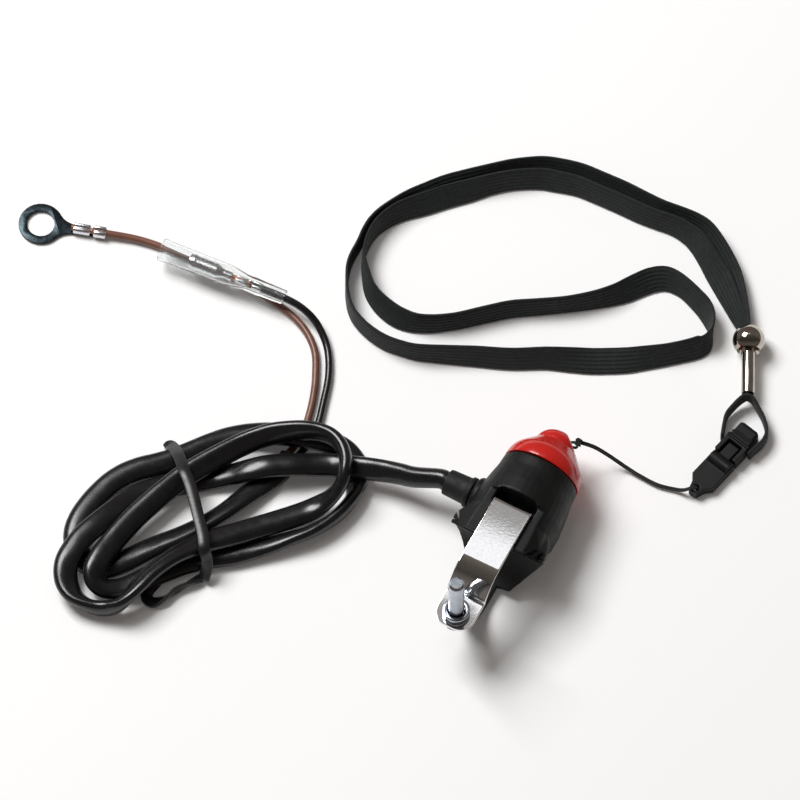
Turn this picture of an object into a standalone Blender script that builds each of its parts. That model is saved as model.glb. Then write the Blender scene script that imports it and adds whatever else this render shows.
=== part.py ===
# Engine kill switch with a lanyard, for a 22 mm motorcycle handlebar.
# The switch lies on a table with its strap side up. World +X runs along the handlebar,
# +Y along the switch's barrel towards its cap, and +Z is up.
# Sizes of the switch are written in its own frame: the cap's rim is at y = 0, the barrel's
# axis is at z = 0, and the empty named switch_frame places that frame in the world.

import math

import bmesh
import bpy
from mathutils import Vector

MM = 0.001
GAP = 0.3 * MM

# Handlebar clamp
BAR_RADIUS = 11.0 * MM
BAR_CLEARANCE = 0.15 * MM
BAR_BEHIND_RIM = 38.4 * MM
LINER_THICKNESS = 1.2 * MM
LINER_TOP_DEG = 34
LINER_WIDE_END_DEG = -90
LINER_STRIP_START_DEG = -50
LINER_END_DEG = -170
LINER_STEP_DEG = 4
SADDLE_WALL = 2.0 * MM
SADDLE_START = 19.5 * MM
SADDLE_FORMED = 26.0 * MM
SADDLE_END = 34.5 * MM
SADDLE_HALF_WIDTH = 15.5 * MM
ARM_HALF_WIDTH = 2.8 * MM
ARM_START = 19.0 * MM
ARM_ROOT_Z = -6.0 * MM
ARM_FLAT_START = 25.5 * MM
EAR_REACH = 60.2 * MM
BOSS_RADIUS = 4.3 * MM
BOSS_FOOT_RADIUS = 3.9 * MM
LOWER_EAR_TOP = 3.9 * MM
LOWER_EAR_THICKNESS = 2.9 * MM
JAW_TIP_BEHIND_RIM = 30.2 * MM
JAW_TIP_Z = 7.0 * MM

# Barrel of the housing
RIM_RADIUS = 12.5 * MM
BARREL_END_RADIUS = 14.4 * MM
BARREL_LENGTH = 20.5 * MM
BARREL_STRAIGHT = 3.7 * MM
BARREL_FLARE_MIDDLE = 9.0 * MM
BARREL_FLARE_END = 15.0 * MM
EDGE_CHAMFER = 0.3 * MM
FACET_HEIGHT = 11.0 * MM
FACET_START = 14.8 * MM
SPIGOT_RADIUS = 9.6 * MM
SPIGOT_HEIGHT = 5.0 * MM
CHAMBER_RADIUS = 7.0 * MM
CHAMBER_DEPTH = 12.3 * MM

# Strap
STRAP_WIDTH = 12.6 * MM
STRAP_THICKNESS = 1.0 * MM
STRAP_HOOK_Y = 17.6 * MM
STRAP_HOOK_FOOT = 5.0 * MM
STRAP_BEND = 1.5 * MM
STRAP_WRAP_END = math.radians(30)
STRAP_FOLD_RADIUS = 1.2 * MM
STRAP_EAR_CORNER = 1.6 * MM
POCKET_WIDTH = 14.0 * MM
POCKET_START = 14.0 * MM
POCKET_BEHIND_HOOK = 2.0 * MM
POCKET_CORNER = 1.9 * MM
UNDERCUT_BEHIND_HOOK = 5.0 * MM

# Clamp screw
SCREW_RADIUS = 2.4 * MM
SCREW_HOLE_RADIUS = 2.7 * MM
SCREW_CHAMFER = 0.7 * MM
SCREW_HEAD_RADIUS = 3.2 * MM
SCREW_HEAD_HEIGHT = 1.3 * MM
SCREW_SLOT_WIDTH = 1.1 * MM
SCREW_SLOT_DEPTH = 0.7 * MM
SCREW_PROTRUSION = 18.0 * MM
SCREW_BEHIND_FOLD = 5.6 * MM
NUT_RADIUS = 4.15 * MM
NUT_BORE_RADIUS = 2.75 * MM
NUT_HEIGHT = 2.2 * MM

# Cap
CAP_HEIGHT = 15.5 * MM
CAP_DOME_START = 1.0 * MM
CAP_DOME_RADIUS = 7.0 * MM
CAP_NOSE_RADIUS = 7.4 * MM
CAP_NOSE_ROUNDING = 4.2 * MM
CAP_TIP_HALF_WIDTH = 1.1 * MM
CAP_BORE_CLEARANCE = 0.4 * MM
CAP_ROOF_ABOVE_BORE = 3.2 * MM
CAP_CORD_HOLE_BELOW_TIP = 2.6 * MM
CAP_CORD_HOLE_RADIUS = 1.1 * MM

# Plunger and contacts
PLUNGER_TRAVEL = 3.0 * MM
PLUNGER_RADIUS = 3.0 * MM
PLUNGER_COLLAR_RADIUS = 3.9 * MM
PLUNGER_COLLAR_TOP = -3.4 * MM
PLUNGER_COLLAR_HEIGHT = 1.2 * MM
PLUNGER_PIN_RADIUS = 1.5 * MM
PLUNGER_PIN_END = -9.0 * MM
BUSH_BOTTOM = 0.8 * MM
BRIDGE_RADIUS = 5.2 * MM
BRIDGE_THICKNESS = 0.5 * MM
BASE_THICKNESS = 1.8 * MM
TERMINAL_THICKNESS = 0.5 * MM
TERMINAL_WIDTH = 3.0 * MM
SPRING_RADIUS = 2.6 * MM
SPRING_WIRE_RADIUS = 0.3 * MM
SPRING_TURNS = 4

# Cable and gland
CABLE_RADIUS = 3.1 * MM
CABLE_BEHIND_RIM = 14.7 * MM
CABLE_DROP = 0.5 * MM
GLAND_PLATE_OUT = 15.2 * MM
GLAND_PLATE_RADIUS = 5.85 * MM
GLAND_PLATE_ROOT = 9.0 * MM
GLAND_PLATE_EDGE = 0.8 * MM
GLAND_FLANGE_RADIUS = 4.9 * MM
GLAND_FLANGE_THICKNESS = 1.4 * MM
GLAND_RADIUS = 4.3 * MM
GLAND_END = 24.2 * MM
CABLE_BORE_END = 5.0 * MM
COIL_HEIGHT = 14.0 * MM
COIL_EDGE = 2.0 * MM
TIE_WIDTH = 3.2 * MM
TIE_THICKNESS = 0.8 * MM
TIE_SWAY = 1.3 * MM

# Wires and connectors
WIRE_RADIUS = 1.15 * MM
SLEEVE_RADIUS = 3.6 * MM
SLEEVE_WALL = 0.8 * MM
SLEEVE_LENGTH = 41.0 * MM
RING_RADIUS = 6.8 * MM
RING_HOLE_RADIUS = 4.2 * MM
RING_THICKNESS = 0.9 * MM
CRIMP_WALL = 0.5 * MM

# Lanyard
THIN_CORD_RADIUS = 0.55 * MM
DOUBLE_CORD_RADIUS = 0.85 * MM
KNOT_RADIUS = 1.5 * MM
CLIP_WIDTH = 8.2 * MM
CLIP_HEIGHT = 5.0 * MM
CLIP_TONGUE_WIDTH = 4.6 * MM
WEBBING_WIDTH = 4.8 * MM
WEBBING_THICKNESS = 1.1 * MM
FERRULE_RADIUS = 2.05 * MM
FERRULE_BORE_RADIUS = 1.6 * MM
FERRULE_LENGTH = 18.6 * MM
BEAD_RADIUS = 5.0 * MM
BEAD_MOUTH_RADIUS = 3.6 * MM
BAND_WIDTH = 8.0 * MM
BAND_THICKNESS = 1.1 * MM
FLOOR_CLEARANCE = 0.2 * MM

# Derived places in the switch's own frame
GRIP_RADIUS = BAR_RADIUS + BAR_CLEARANCE
LINER_OUTER_RADIUS = GRIP_RADIUS + LINER_THICKNESS
SADDLE_RADIUS = LINER_OUTER_RADIUS + GAP
CLAMP_OUTER_RADIUS = SADDLE_RADIUS + SADDLE_WALL
BAR_Y = -BAR_BEHIND_RIM
STRAP_MIDDLE_RADIUS = GRIP_RADIUS + STRAP_THICKNESS / 2
FOLD_START_Y = BAR_Y - STRAP_MIDDLE_RADIUS * math.cos(STRAP_WRAP_END)
FOLD_START_Z = STRAP_MIDDLE_RADIUS * math.sin(STRAP_WRAP_END)
FOLD_TURN = math.pi / 2 - STRAP_WRAP_END
EAR_MIDDLE_Z = FOLD_START_Z - STRAP_FOLD_RADIUS * (1 - math.cos(FOLD_TURN))
EAR_TOP_Z = EAR_MIDDLE_Z + STRAP_THICKNESS / 2
EAR_START_Y = FOLD_START_Y - STRAP_FOLD_RADIUS * math.sin(FOLD_TURN)
SCREW_Y = EAR_START_Y - SCREW_BEHIND_FOLD
LOWER_EAR_BOTTOM = LOWER_EAR_TOP - LOWER_EAR_THICKNESS
SCREW_HEAD_TOP = LOWER_EAR_BOTTOM + SCREW_HEAD_HEIGHT
NUT_BOTTOM = EAR_TOP_Z + GAP
SCREW_TIP = NUT_BOTTOM + NUT_HEIGHT + SCREW_PROTRUSION
CAP_CORD_HOLE_Y = CAP_HEIGHT - CAP_CORD_HOLE_BELOW_TIP
CAP_BORE_RADIUS = SPIGOT_RADIUS + GAP
CAP_BORE_DEPTH = SPIGOT_HEIGHT + CAP_BORE_CLEARANCE
CAP_ROOF = CAP_BORE_DEPTH + CAP_ROOF_ABOVE_BORE
CHAMBER_FLOOR = -CHAMBER_DEPTH
BASE_BOTTOM = CHAMBER_FLOOR + GAP
BASE_TOP = BASE_BOTTOM + BASE_THICKNESS
BRIDGE_TOP = PLUNGER_COLLAR_TOP - PLUNGER_COLLAR_HEIGHT - GAP
BRIDGE_BOTTOM = BRIDGE_TOP - BRIDGE_THICKNESS
CABLE_Y = -CABLE_BEHIND_RIM
CABLE_Z = -CABLE_DROP
CABLE_BORE_RADIUS = CABLE_RADIUS + GAP

# Origin of the switch's frame in the world, so that the switch's box stands on the origin
RIM_WORLD_Y = (EAR_REACH - CAP_HEIGHT) / 2
AXIS_WORLD_Z = CLAMP_OUTER_RADIUS

# Reach of the solids that cut the housing
CUT_REACH = 20.0 * MM

ROUND_SEGMENTS = 40
SMALL_SEGMENTS = 20

# Right half of the saddle's section at the bar, from its top down, as (x, z) in millimetres
SADDLE_HALF_SECTION = [
    (8.9, 11.4), (12.8, 9.2), (15.5, 7.0), (15.2, 3.0), (14.2, 0.0), (13.0, -3.0), (11.3, -6.0),
    (9.2, -9.0), (7.0, -11.0), (4.0, -12.4), (0.0, -12.9),
]


def clear_scene():
    for old in list(bpy.data.objects):
        bpy.data.objects.remove(old, do_unlink=True)


def material(name, colour, roughness, metallic=0.0, transmission=0.0):
    made = bpy.data.materials.new(name)
    made.use_nodes = True
    shader = made.node_tree.nodes["Principled BSDF"]
    shader.inputs["Base Color"].default_value = (*colour, 1.0)
    shader.inputs["Roughness"].default_value = roughness
    shader.inputs["Metallic"].default_value = metallic
    shader.inputs["Transmission Weight"].default_value = transmission
    return made


def add_object(name, data, finish=None, parent=None):
    made = bpy.data.objects.new(name, data)
    bpy.context.scene.collection.objects.link(made)
    made.parent = parent
    if finish is not None:
        data.materials.append(finish)
    return made


def solid_from(name, bm, finish=None, parent=None):
    bmesh.ops.recalc_face_normals(bm, faces=bm.faces)
    mesh = bpy.data.meshes.new(name)
    bm.to_mesh(mesh)
    bm.free()
    mesh.shade_smooth()
    mesh.set_sharp_from_angle(angle=math.radians(35))
    return add_object(name, mesh, finish, parent)


def turned(name, profile, segments, finish=None, parent=None, axis="Y", centre=(0, 0, 0), closed=False):
    """Turns (radius, height) points about an axis. A closed profile makes a ring or a tube."""
    bm = bmesh.new()
    rings = []
    for radius, height in profile:
        ring = []
        steps = 1 if radius < 1e-9 else segments
        for step in range(steps):
            angle = 2 * math.pi * step / segments
            across = radius * math.cos(angle)
            up = radius * math.sin(angle)
            place = {"X": (height, across, up), "Y": (across, height, up), "Z": (across, up, height)}[axis]
            ring.append(bm.verts.new(Vector(place) + Vector(centre)))
        rings.append(ring)
    pairs = list(zip(rings, rings[1:]))
    if closed:
        pairs.append((rings[-1], rings[0]))
    for first, second in pairs:
        if len(first) == 1 and len(second) == 1:
            continue
        for step in range(segments):
            after = (step + 1) % segments
            if len(first) == 1:
                bm.faces.new((first[0], second[step], second[after]))
            elif len(second) == 1:
                bm.faces.new((first[step], first[after], second[0]))
            else:
                bm.faces.new((first[step], first[after], second[after], second[step]))
    return solid_from(name, bm, finish, parent)


def prism(name, outline, low, high, axis, finish=None, parent=None):
    """Extrudes an outline: (y, z) points along X, or (x, y) points along Z."""
    bm = bmesh.new()
    ends = []
    for level in (low, high):
        if axis == "X":
            ends.append([bm.verts.new((level, first, second)) for first, second in outline])
        else:
            ends.append([bm.verts.new((first, second, level)) for first, second in outline])
    bm.faces.new(ends[0])
    bm.faces.new(list(reversed(ends[1])))
    count = len(outline)
    for index in range(count):
        after = (index + 1) % count
        bm.faces.new((ends[0][index], ends[0][after], ends[1][after], ends[1][index]))
    return solid_from(name, bm, finish, parent)


def block(name, low, high, finish=None, parent=None):
    outline = [(low[0], low[1]), (high[0], low[1]), (high[0], high[1]), (low[0], high[1])]
    return prism(name, outline, low[2], high[2], "Z", finish, parent)


def cylinder(name, radius, low, high, axis, centre, parent=None, segments=SMALL_SEGMENTS):
    profile = [(0, low), (radius, low), (radius, high), (0, high)]
    return turned(name, profile, segments, None, parent, axis, centre)


def combine(target, other, operation):
    """Joins, cuts or trims the target with another object, which stays as a guide."""
    other.hide_render = True
    other.display_type = "WIRE"
    modifier = target.modifiers.new(operation.title(), "BOOLEAN")
    modifier.operation = operation
    modifier.solver = "EXACT"
    modifier.object = other


def bevel(target, width, segments=2, angle=40):
    modifier = target.modifiers.new("Bevel", "BEVEL")
    modifier.width = width
    modifier.segments = segments
    modifier.limit_method = "ANGLE"
    modifier.angle_limit = math.radians(angle)
    modifier.use_clamp_overlap = True


def arc(centre, radius, start, end, steps):
    """Points of an arc in a plane, with its angles in degrees."""
    points = []
    for step in range(steps + 1):
        angle = math.radians(start + (end - start) * step / steps)
        points.append((centre[0] + radius * math.cos(angle), centre[1] + radius * math.sin(angle)))
    return points


def in_metres(points):
    return [Vector(point) * MM for point in points]


def smooth_route(points, spacing):
    """Reads evenly spaced points from one smooth curve through the route's points."""
    padded = [2 * points[0] - points[1]] + list(points) + [2 * points[-1] - points[-2]]
    fine = []
    for index in range(1, len(padded) - 2):
        before, start, end, after = padded[index - 1:index + 3]
        for step in range(12):
            t = step / 12
            fine.append(
                0.5 * (2 * start + (end - before) * t
                       + (2 * before - 5 * start + 4 * end - after) * t * t
                       + (3 * start - before - 3 * end + after) * t ** 3)
            )
    fine.append(points[-1].copy())
    total = sum((b - a).length for a, b in zip(fine, fine[1:]))
    count = max(2, round(total / spacing))
    spaced = [fine[0]]
    walked = 0.0
    for a, b in zip(fine, fine[1:]):
        piece = (b - a).length
        while len(spaced) < count and walked + piece >= total * len(spaced) / count - 1e-12:
            share = (total * len(spaced) / count - walked) / piece
            spaced.append(a.lerp(b, share))
        walked += piece
    spaced.append(fine[-1])
    return spaced


def tube(name, points, radius, resolution, finish, parent=None):
    """A cord as a curve with a round bevel and filled caps."""
    curve = bpy.data.curves.new(name, "CURVE")
    curve.dimensions = "3D"
    curve.bevel_depth = radius
    curve.bevel_resolution = resolution
    curve.use_fill_caps = True
    spline = curve.splines.new("POLY")
    spline.points.add(len(points) - 1)
    for target, point in zip(spline.points, points):
        target.co = (*point, 1.0)
    return add_object(name, curve, finish, parent)


def ribbon(name, points, width, thickness, finish, parent=None, width_axis=(0, 0, 1)):
    """A flat strip swept along points, with its width held along one direction."""
    bm = bmesh.new()
    up = Vector(width_axis)
    sections = []
    for index, point in enumerate(points):
        before = points[max(index - 1, 0)]
        after = points[min(index + 1, len(points) - 1)]
        side = (after - before).cross(up).normalized() * thickness / 2
        half = up * width / 2
        corners = (point - side - half, point + side - half, point + side + half, point - side + half)
        sections.append([bm.verts.new(corner) for corner in corners])
    for first, second in zip(sections, sections[1:]):
        for index in range(4):
            after = (index + 1) % 4
            bm.faces.new((first[index], first[after], second[after], second[index]))
    bm.faces.new(sections[0])
    bm.faces.new(list(reversed(sections[-1])))
    return solid_from(name, bm, finish, parent)


# Materials

def make_materials():
    return {
        "black_plastic": material("black_plastic", (0.018, 0.019, 0.02), 0.5),
        "red_plastic": material("red_plastic", (0.62, 0.02, 0.015), 0.18),
        "black_rubber": material("black_rubber", (0.012, 0.012, 0.012), 0.75),
        "black_pvc": material("black_pvc", (0.01, 0.01, 0.011), 0.28),
        "brown_pvc": material("brown_pvc", (0.2, 0.07, 0.03), 0.35),
        "chrome": material("chrome", (0.8, 0.8, 0.81), 0.12, 1.0),
        "zinc": material("zinc", (0.62, 0.66, 0.7), 0.3, 1.0),
        "nickel": material("nickel", (0.66, 0.62, 0.55), 0.15, 1.0),
        "brass": material("brass", (0.75, 0.55, 0.25), 0.3, 1.0),
        "tinned": material("tinned", (0.25, 0.27, 0.28), 0.4, 1.0),
        "clear": material("clear", (0.9, 0.92, 0.92), 0.1, 0.0, 0.9),
        "black_webbing": material("black_webbing", (0.012, 0.012, 0.013), 0.9),
    }


# Housing

def make_saddle_form(frame):
    """Solid of the saddle before the bar's bore: round at the barrel, with wings at the bar."""
    half = in_metres([(x, z, 0) for x, z in SADDLE_HALF_SECTION])
    section = [(point.x, point.y) for point in half]
    section += [(-point.x, point.y) for point in reversed(half[:-1])]
    bm = bmesh.new()
    rings = []
    for y, winged in ((-SADDLE_START, False), (-SADDLE_FORMED, True), (-SADDLE_END, True)):
        ring = []
        for x, z in section:
            scale = 1.0 if winged else (BARREL_END_RADIUS - GAP / 2) / math.hypot(x, z)
            ring.append(bm.verts.new((x * scale, y, z * scale)))
        rings.append(ring)
    count = len(section)
    for first, second in zip(rings, rings[1:]):
        for index in range(count):
            after = (index + 1) % count
            bm.faces.new((first[index], first[after], second[after], second[index]))
    bm.faces.new(rings[0])
    bm.faces.new(list(reversed(rings[-1])))
    return solid_from("guide_saddle", bm, None, frame)


def arm_side():
    """Side profile of the arm that runs under the bar from the barrel to the lower ear."""
    ear_meets_arm = math.degrees(math.asin(LOWER_EAR_BOTTOM / CLAMP_OUTER_RADIUS))
    lower = arc((BAR_Y, 0), CLAMP_OUTER_RADIUS, -90, -180 - ear_meets_arm, 14)
    inside_bore = 2 * MM
    return [
        (-ARM_START, ARM_ROOT_Z),
        (-ARM_START, -BARREL_END_RADIUS + 2 * GAP),
        (-ARM_FLAT_START, -CLAMP_OUTER_RADIUS),
    ] + lower + [
        (SCREW_Y, LOWER_EAR_BOTTOM),
        (SCREW_Y, LOWER_EAR_TOP),
        (BAR_Y - inside_bore, LOWER_EAR_TOP),
        (BAR_Y + inside_bore, ARM_ROOT_Z),
    ]


def make_barrel(finish, frame):
    profile = [
        (0, CHAMBER_FLOOR),
        (CHAMBER_RADIUS, CHAMBER_FLOOR),
        (CHAMBER_RADIUS, SPIGOT_HEIGHT),
        (SPIGOT_RADIUS - EDGE_CHAMFER, SPIGOT_HEIGHT),
        (SPIGOT_RADIUS, SPIGOT_HEIGHT - EDGE_CHAMFER),
        (SPIGOT_RADIUS, 0),
        (RIM_RADIUS - EDGE_CHAMFER, 0),
        (RIM_RADIUS, -EDGE_CHAMFER),
        (RIM_RADIUS + 0.1 * (BARREL_END_RADIUS - RIM_RADIUS), -BARREL_STRAIGHT),
        (RIM_RADIUS + 0.6 * (BARREL_END_RADIUS - RIM_RADIUS), -BARREL_FLARE_MIDDLE),
        (BARREL_END_RADIUS, -BARREL_FLARE_END),
        (BARREL_END_RADIUS, -SADDLE_START),
        (BARREL_END_RADIUS - EDGE_CHAMFER, -BARREL_LENGTH),
        (0, -BARREL_LENGTH),
    ]
    return turned("housing", profile, ROUND_SEGMENTS, finish, frame)


def add_to_housing(housing, frame):
    """Joins the saddle, the arm, the screw's boss and the lead's plate to the barrel."""
    combine(housing, make_saddle_form(frame), "UNION")
    arm = prism("guide_arm", arm_side(), -ARM_HALF_WIDTH, ARM_HALF_WIDTH, "X", None, frame)
    combine(housing, arm, "UNION")
    boss_profile = [
        (0, LOWER_EAR_BOTTOM),
        (BOSS_FOOT_RADIUS, LOWER_EAR_BOTTOM),
        (BOSS_RADIUS, (LOWER_EAR_BOTTOM + LOWER_EAR_TOP) / 2),
        (BOSS_RADIUS, LOWER_EAR_TOP),
        (0, LOWER_EAR_TOP),
    ]
    boss = turned("guide_boss", boss_profile, 28, None, frame, "Z", (0, SCREW_Y, 0))
    combine(housing, boss, "UNION")
    plate_profile = [
        (0, -GLAND_PLATE_OUT),
        (GLAND_PLATE_RADIUS - GLAND_PLATE_EDGE, -GLAND_PLATE_OUT),
        (GLAND_PLATE_RADIUS, -GLAND_PLATE_OUT + GLAND_PLATE_EDGE),
        (GLAND_PLATE_RADIUS, -GLAND_PLATE_ROOT),
        (0, -GLAND_PLATE_ROOT),
    ]
    plate = turned("guide_gland_plate", plate_profile, 28, None, frame, "X", (0, CABLE_Y, CABLE_Z))
    combine(housing, plate, "UNION")


def cut_clamp(housing, frame):
    """Cuts the bar's bore, the flat facet and the short upper jaw."""
    bar = cylinder("guide_bar", SADDLE_RADIUS, -CUT_REACH, CUT_REACH, "X", (0, BAR_Y, 0), frame, 64)
    combine(housing, bar, "DIFFERENCE")
    facet = block(
        "guide_facet",
        (-CUT_REACH, -SADDLE_END - MM, FACET_HEIGHT),
        (CUT_REACH, -FACET_START, CUT_REACH),
        None, frame,
    )
    combine(housing, facet, "DIFFERENCE")
    jaw_tip = block(
        "guide_jaw_tip",
        (-CUT_REACH, BAR_Y, JAW_TIP_Z),
        (CUT_REACH, -JAW_TIP_BEHIND_RIM, CUT_REACH),
        None, frame,
    )
    combine(housing, jaw_tip, "DIFFERENCE")


def cut_pocket(housing, frame):
    """Cuts the pocket that takes the strap's hook, with an undercut for the hook's foot."""
    floor = STRAP_HOOK_FOOT - STRAP_THICKNESS / 2 - 2 * GAP
    pocket = block(
        "guide_pocket",
        (-POCKET_WIDTH / 2, -STRAP_HOOK_Y - POCKET_BEHIND_HOOK, floor),
        (POCKET_WIDTH / 2, -POCKET_START, CUT_REACH),
        None, frame,
    )
    bevel(pocket, POCKET_CORNER, 3)
    combine(housing, pocket, "DIFFERENCE")
    undercut = block(
        "guide_undercut",
        (-POCKET_WIDTH / 2, -STRAP_HOOK_Y - UNDERCUT_BEHIND_HOOK, floor),
        (POCKET_WIDTH / 2, -STRAP_HOOK_Y - POCKET_BEHIND_HOOK / 2, floor + STRAP_THICKNESS + 4 * GAP),
        None, frame,
    )
    combine(housing, undercut, "DIFFERENCE")


def make_housing(finish, frame):
    housing = make_barrel(finish, frame)
    add_to_housing(housing, frame)
    cut_clamp(housing, frame)
    cut_pocket(housing, frame)
    cable_bore = cylinder(
        "guide_cable_bore", CABLE_BORE_RADIUS, -CUT_REACH, -CABLE_BORE_END, "X",
        (0, CABLE_Y, CABLE_Z), frame,
    )
    combine(housing, cable_bore, "DIFFERENCE")
    screw_place = (0, SCREW_Y, 0)
    screw_hole = cylinder(
        "guide_screw_hole", SCREW_HOLE_RADIUS, -CUT_REACH, CUT_REACH, "Z", screw_place, frame
    )
    combine(housing, screw_hole, "DIFFERENCE")
    head_seat = cylinder(
        "guide_head_seat", SCREW_HEAD_RADIUS + GAP, -CUT_REACH, SCREW_HEAD_TOP + GAP, "Z",
        screw_place, frame, 28,
    )
    combine(housing, head_seat, "DIFFERENCE")
    return housing


def liner_outline(start, end):
    steps = (start - end) // LINER_STEP_DEG
    inner = arc((BAR_Y, 0), GRIP_RADIUS, start, end, steps)
    outer = arc((BAR_Y, 0), LINER_OUTER_RADIUS, end, start, steps)
    return inner + outer


def make_liner(finish, frame):
    """Rubber strip between the housing and the bar: wide in the saddle, narrow along the arm."""
    wide = liner_outline(LINER_TOP_DEG, LINER_WIDE_END_DEG)
    liner = prism("clamp_liner", wide, -SADDLE_HALF_WIDTH, SADDLE_HALF_WIDTH, "X", finish, frame)
    combine(liner, bpy.data.objects["guide_saddle"], "INTERSECT")
    narrow = liner_outline(LINER_STRIP_START_DEG, LINER_END_DEG)
    strip = prism("guide_liner_strip", narrow, -ARM_HALF_WIDTH, ARM_HALF_WIDTH, "X", None, frame)
    combine(liner, strip, "UNION")
    return liner


# Strap, screw and nut

def strap_path():
    """Middle line of the strap from the hook's foot to the end of the ear, as (y, z)."""
    foot_z = STRAP_HOOK_FOOT
    hook_y = -STRAP_HOOK_Y
    bend = STRAP_BEND
    path = [(hook_y - 4.0 * MM, foot_z)]
    path += arc((hook_y - bend, foot_z + bend), bend, -90, 0, 5)
    path += arc((hook_y - bend, STRAP_MIDDLE_RADIUS - bend), bend, 0, 90, 5)
    wrap_end = 180 - math.degrees(STRAP_WRAP_END)
    path += arc((BAR_Y, 0), STRAP_MIDDLE_RADIUS, 90, wrap_end, 14)
    fold_centre = (EAR_START_Y, EAR_MIDDLE_Z + STRAP_FOLD_RADIUS)
    path += arc(fold_centre, STRAP_FOLD_RADIUS, -math.degrees(math.pi / 2 - FOLD_TURN), -90, 5)[1:]
    rounding = STRAP_WIDTH / 2 - STRAP_EAR_CORNER
    straight_end = -EAR_REACH + rounding
    for step in range(7):
        path.append((straight_end - rounding * math.sin(math.pi / 2 * step / 6), EAR_MIDDLE_Z))
    return path, straight_end, rounding


def make_strap(finish, frame):
    path, straight_end, rounding = strap_path()
    bm = bmesh.new()
    sections = []
    for index, (y, z) in enumerate(path):
        before = path[max(index - 1, 0)]
        after = path[min(index + 1, len(path) - 1)]
        along = Vector((0, after[0] - before[0], after[1] - before[1])).normalized()
        normal = Vector((0, -along.z, along.y)) * STRAP_THICKNESS / 2
        half = STRAP_WIDTH / 2
        if y < straight_end:
            reach = min(1.0, (straight_end - y) / rounding)
            half -= rounding * (1 - math.sqrt(1 - reach * reach))
        middle = Vector((0, y, z))
        side = Vector((half, 0, 0))
        corners = (middle - side - normal, middle + side - normal, middle + side + normal, middle - side + normal)
        sections.append([bm.verts.new(corner) for corner in corners])
    for first, second in zip(sections, sections[1:]):
        for index in range(4):
            after = (index + 1) % 4
            bm.faces.new((first[index], first[after], second[after], second[index]))
    bm.faces.new(sections[0])
    bm.faces.new(list(reversed(sections[-1])))
    strap = solid_from("clamp_strap", bm, finish, frame)
    hole = cylinder(
        "guide_strap_hole", SCREW_HOLE_RADIUS, EAR_MIDDLE_Z - 2 * MM, EAR_MIDDLE_Z + 2 * MM, "Z",
        (0, SCREW_Y, 0), frame, 24,
    )
    combine(strap, hole, "DIFFERENCE")
    return strap


def make_screw(finish, frame):
    head_bottom = LOWER_EAR_BOTTOM
    profile = [
        (0, head_bottom),
        (SCREW_HEAD_RADIUS - EDGE_CHAMFER, head_bottom),
        (SCREW_HEAD_RADIUS, head_bottom + EDGE_CHAMFER),
        (SCREW_HEAD_RADIUS, SCREW_HEAD_TOP),
        (SCREW_RADIUS, SCREW_HEAD_TOP),
        (SCREW_RADIUS, SCREW_TIP - SCREW_CHAMFER),
        (SCREW_RADIUS - SCREW_CHAMFER, SCREW_TIP),
        (0, SCREW_TIP),
    ]
    screw = turned("clamp_screw", profile, 24, finish, frame, "Z", (0, SCREW_Y, 0))
    slot = block(
        "guide_screw_slot",
        (-SCREW_HEAD_RADIUS - MM, SCREW_Y - SCREW_SLOT_WIDTH / 2, head_bottom - MM),
        (SCREW_HEAD_RADIUS + MM, SCREW_Y + SCREW_SLOT_WIDTH / 2, head_bottom + SCREW_SLOT_DEPTH),
        None, frame,
    )
    combine(screw, slot, "DIFFERENCE")
    return screw


def make_nut(finish, frame):
    top = NUT_BOTTOM + NUT_HEIGHT
    profile = [
        (NUT_BORE_RADIUS, NUT_BOTTOM),
        (NUT_RADIUS, NUT_BOTTOM),
        (NUT_RADIUS, top - 0.4 * MM),
        (NUT_RADIUS - 0.4 * MM, top),
        (NUT_BORE_RADIUS + 0.3 * MM, top),
        (NUT_BORE_RADIUS, top - 0.3 * MM),
    ]
    return turned("clamp_nut", profile, 32, finish, frame, "Z", (0, SCREW_Y, 0), True)


# Cap, plunger and contacts

def make_cap(finish, frame):
    """A dome that runs into a cone, with a rounded nose that is flat on both sides."""
    cone_deg = 45
    dome_centre = (RIM_RADIUS - CAP_DOME_RADIUS, CAP_DOME_START)
    dome = arc(dome_centre, CAP_DOME_RADIUS, cone_deg, 0, 6)
    nose_foot = dome[0][1] + dome[0][0] - CAP_NOSE_RADIUS
    nose = []
    for step in range(9):
        angle = math.pi / 2 * (1 - step / 8)
        height = CAP_HEIGHT - CAP_NOSE_ROUNDING * (1 - math.sin(angle))
        nose.append((CAP_NOSE_RADIUS * math.cos(angle) if step else 0, height))
    inside = [
        (RIM_RADIUS - EDGE_CHAMFER, GAP),
        (CAP_BORE_RADIUS, GAP),
        (CAP_BORE_RADIUS, CAP_BORE_DEPTH),
        (PLUNGER_RADIUS + 2 * GAP, CAP_ROOF),
        (0, CAP_ROOF),
    ]
    profile = nose + [(CAP_NOSE_RADIUS, nose_foot)] + dome + [(RIM_RADIUS, GAP + EDGE_CHAMFER)] + inside
    cap = turned("cap", profile, ROUND_SEGMENTS, finish, frame)
    slope = (CAP_NOSE_RADIUS - CAP_TIP_HALF_WIDTH) / (CAP_HEIGHT - nose_foot)
    foot = nose_foot + GAP / 4
    top = CAP_HEIGHT + MM
    for side, name in ((1, "guide_cap_flat_right"), (-1, "guide_cap_flat_left")):
        outline = [
            (side * CAP_NOSE_RADIUS, foot),
            (side * CUT_REACH, foot),
            (side * CUT_REACH, top),
            (side * (CAP_TIP_HALF_WIDTH - slope * MM), top),
        ]
        combine(cap, prism(name, outline, -CUT_REACH, CUT_REACH, "Z", None, frame), "DIFFERENCE")
    hole = cylinder(
        "guide_cap_hole", CAP_CORD_HOLE_RADIUS, -RIM_RADIUS, RIM_RADIUS, "X",
        (0, CAP_CORD_HOLE_Y, 0), frame, 12,
    )
    combine(cap, hole, "DIFFERENCE")
    return cap


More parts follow.
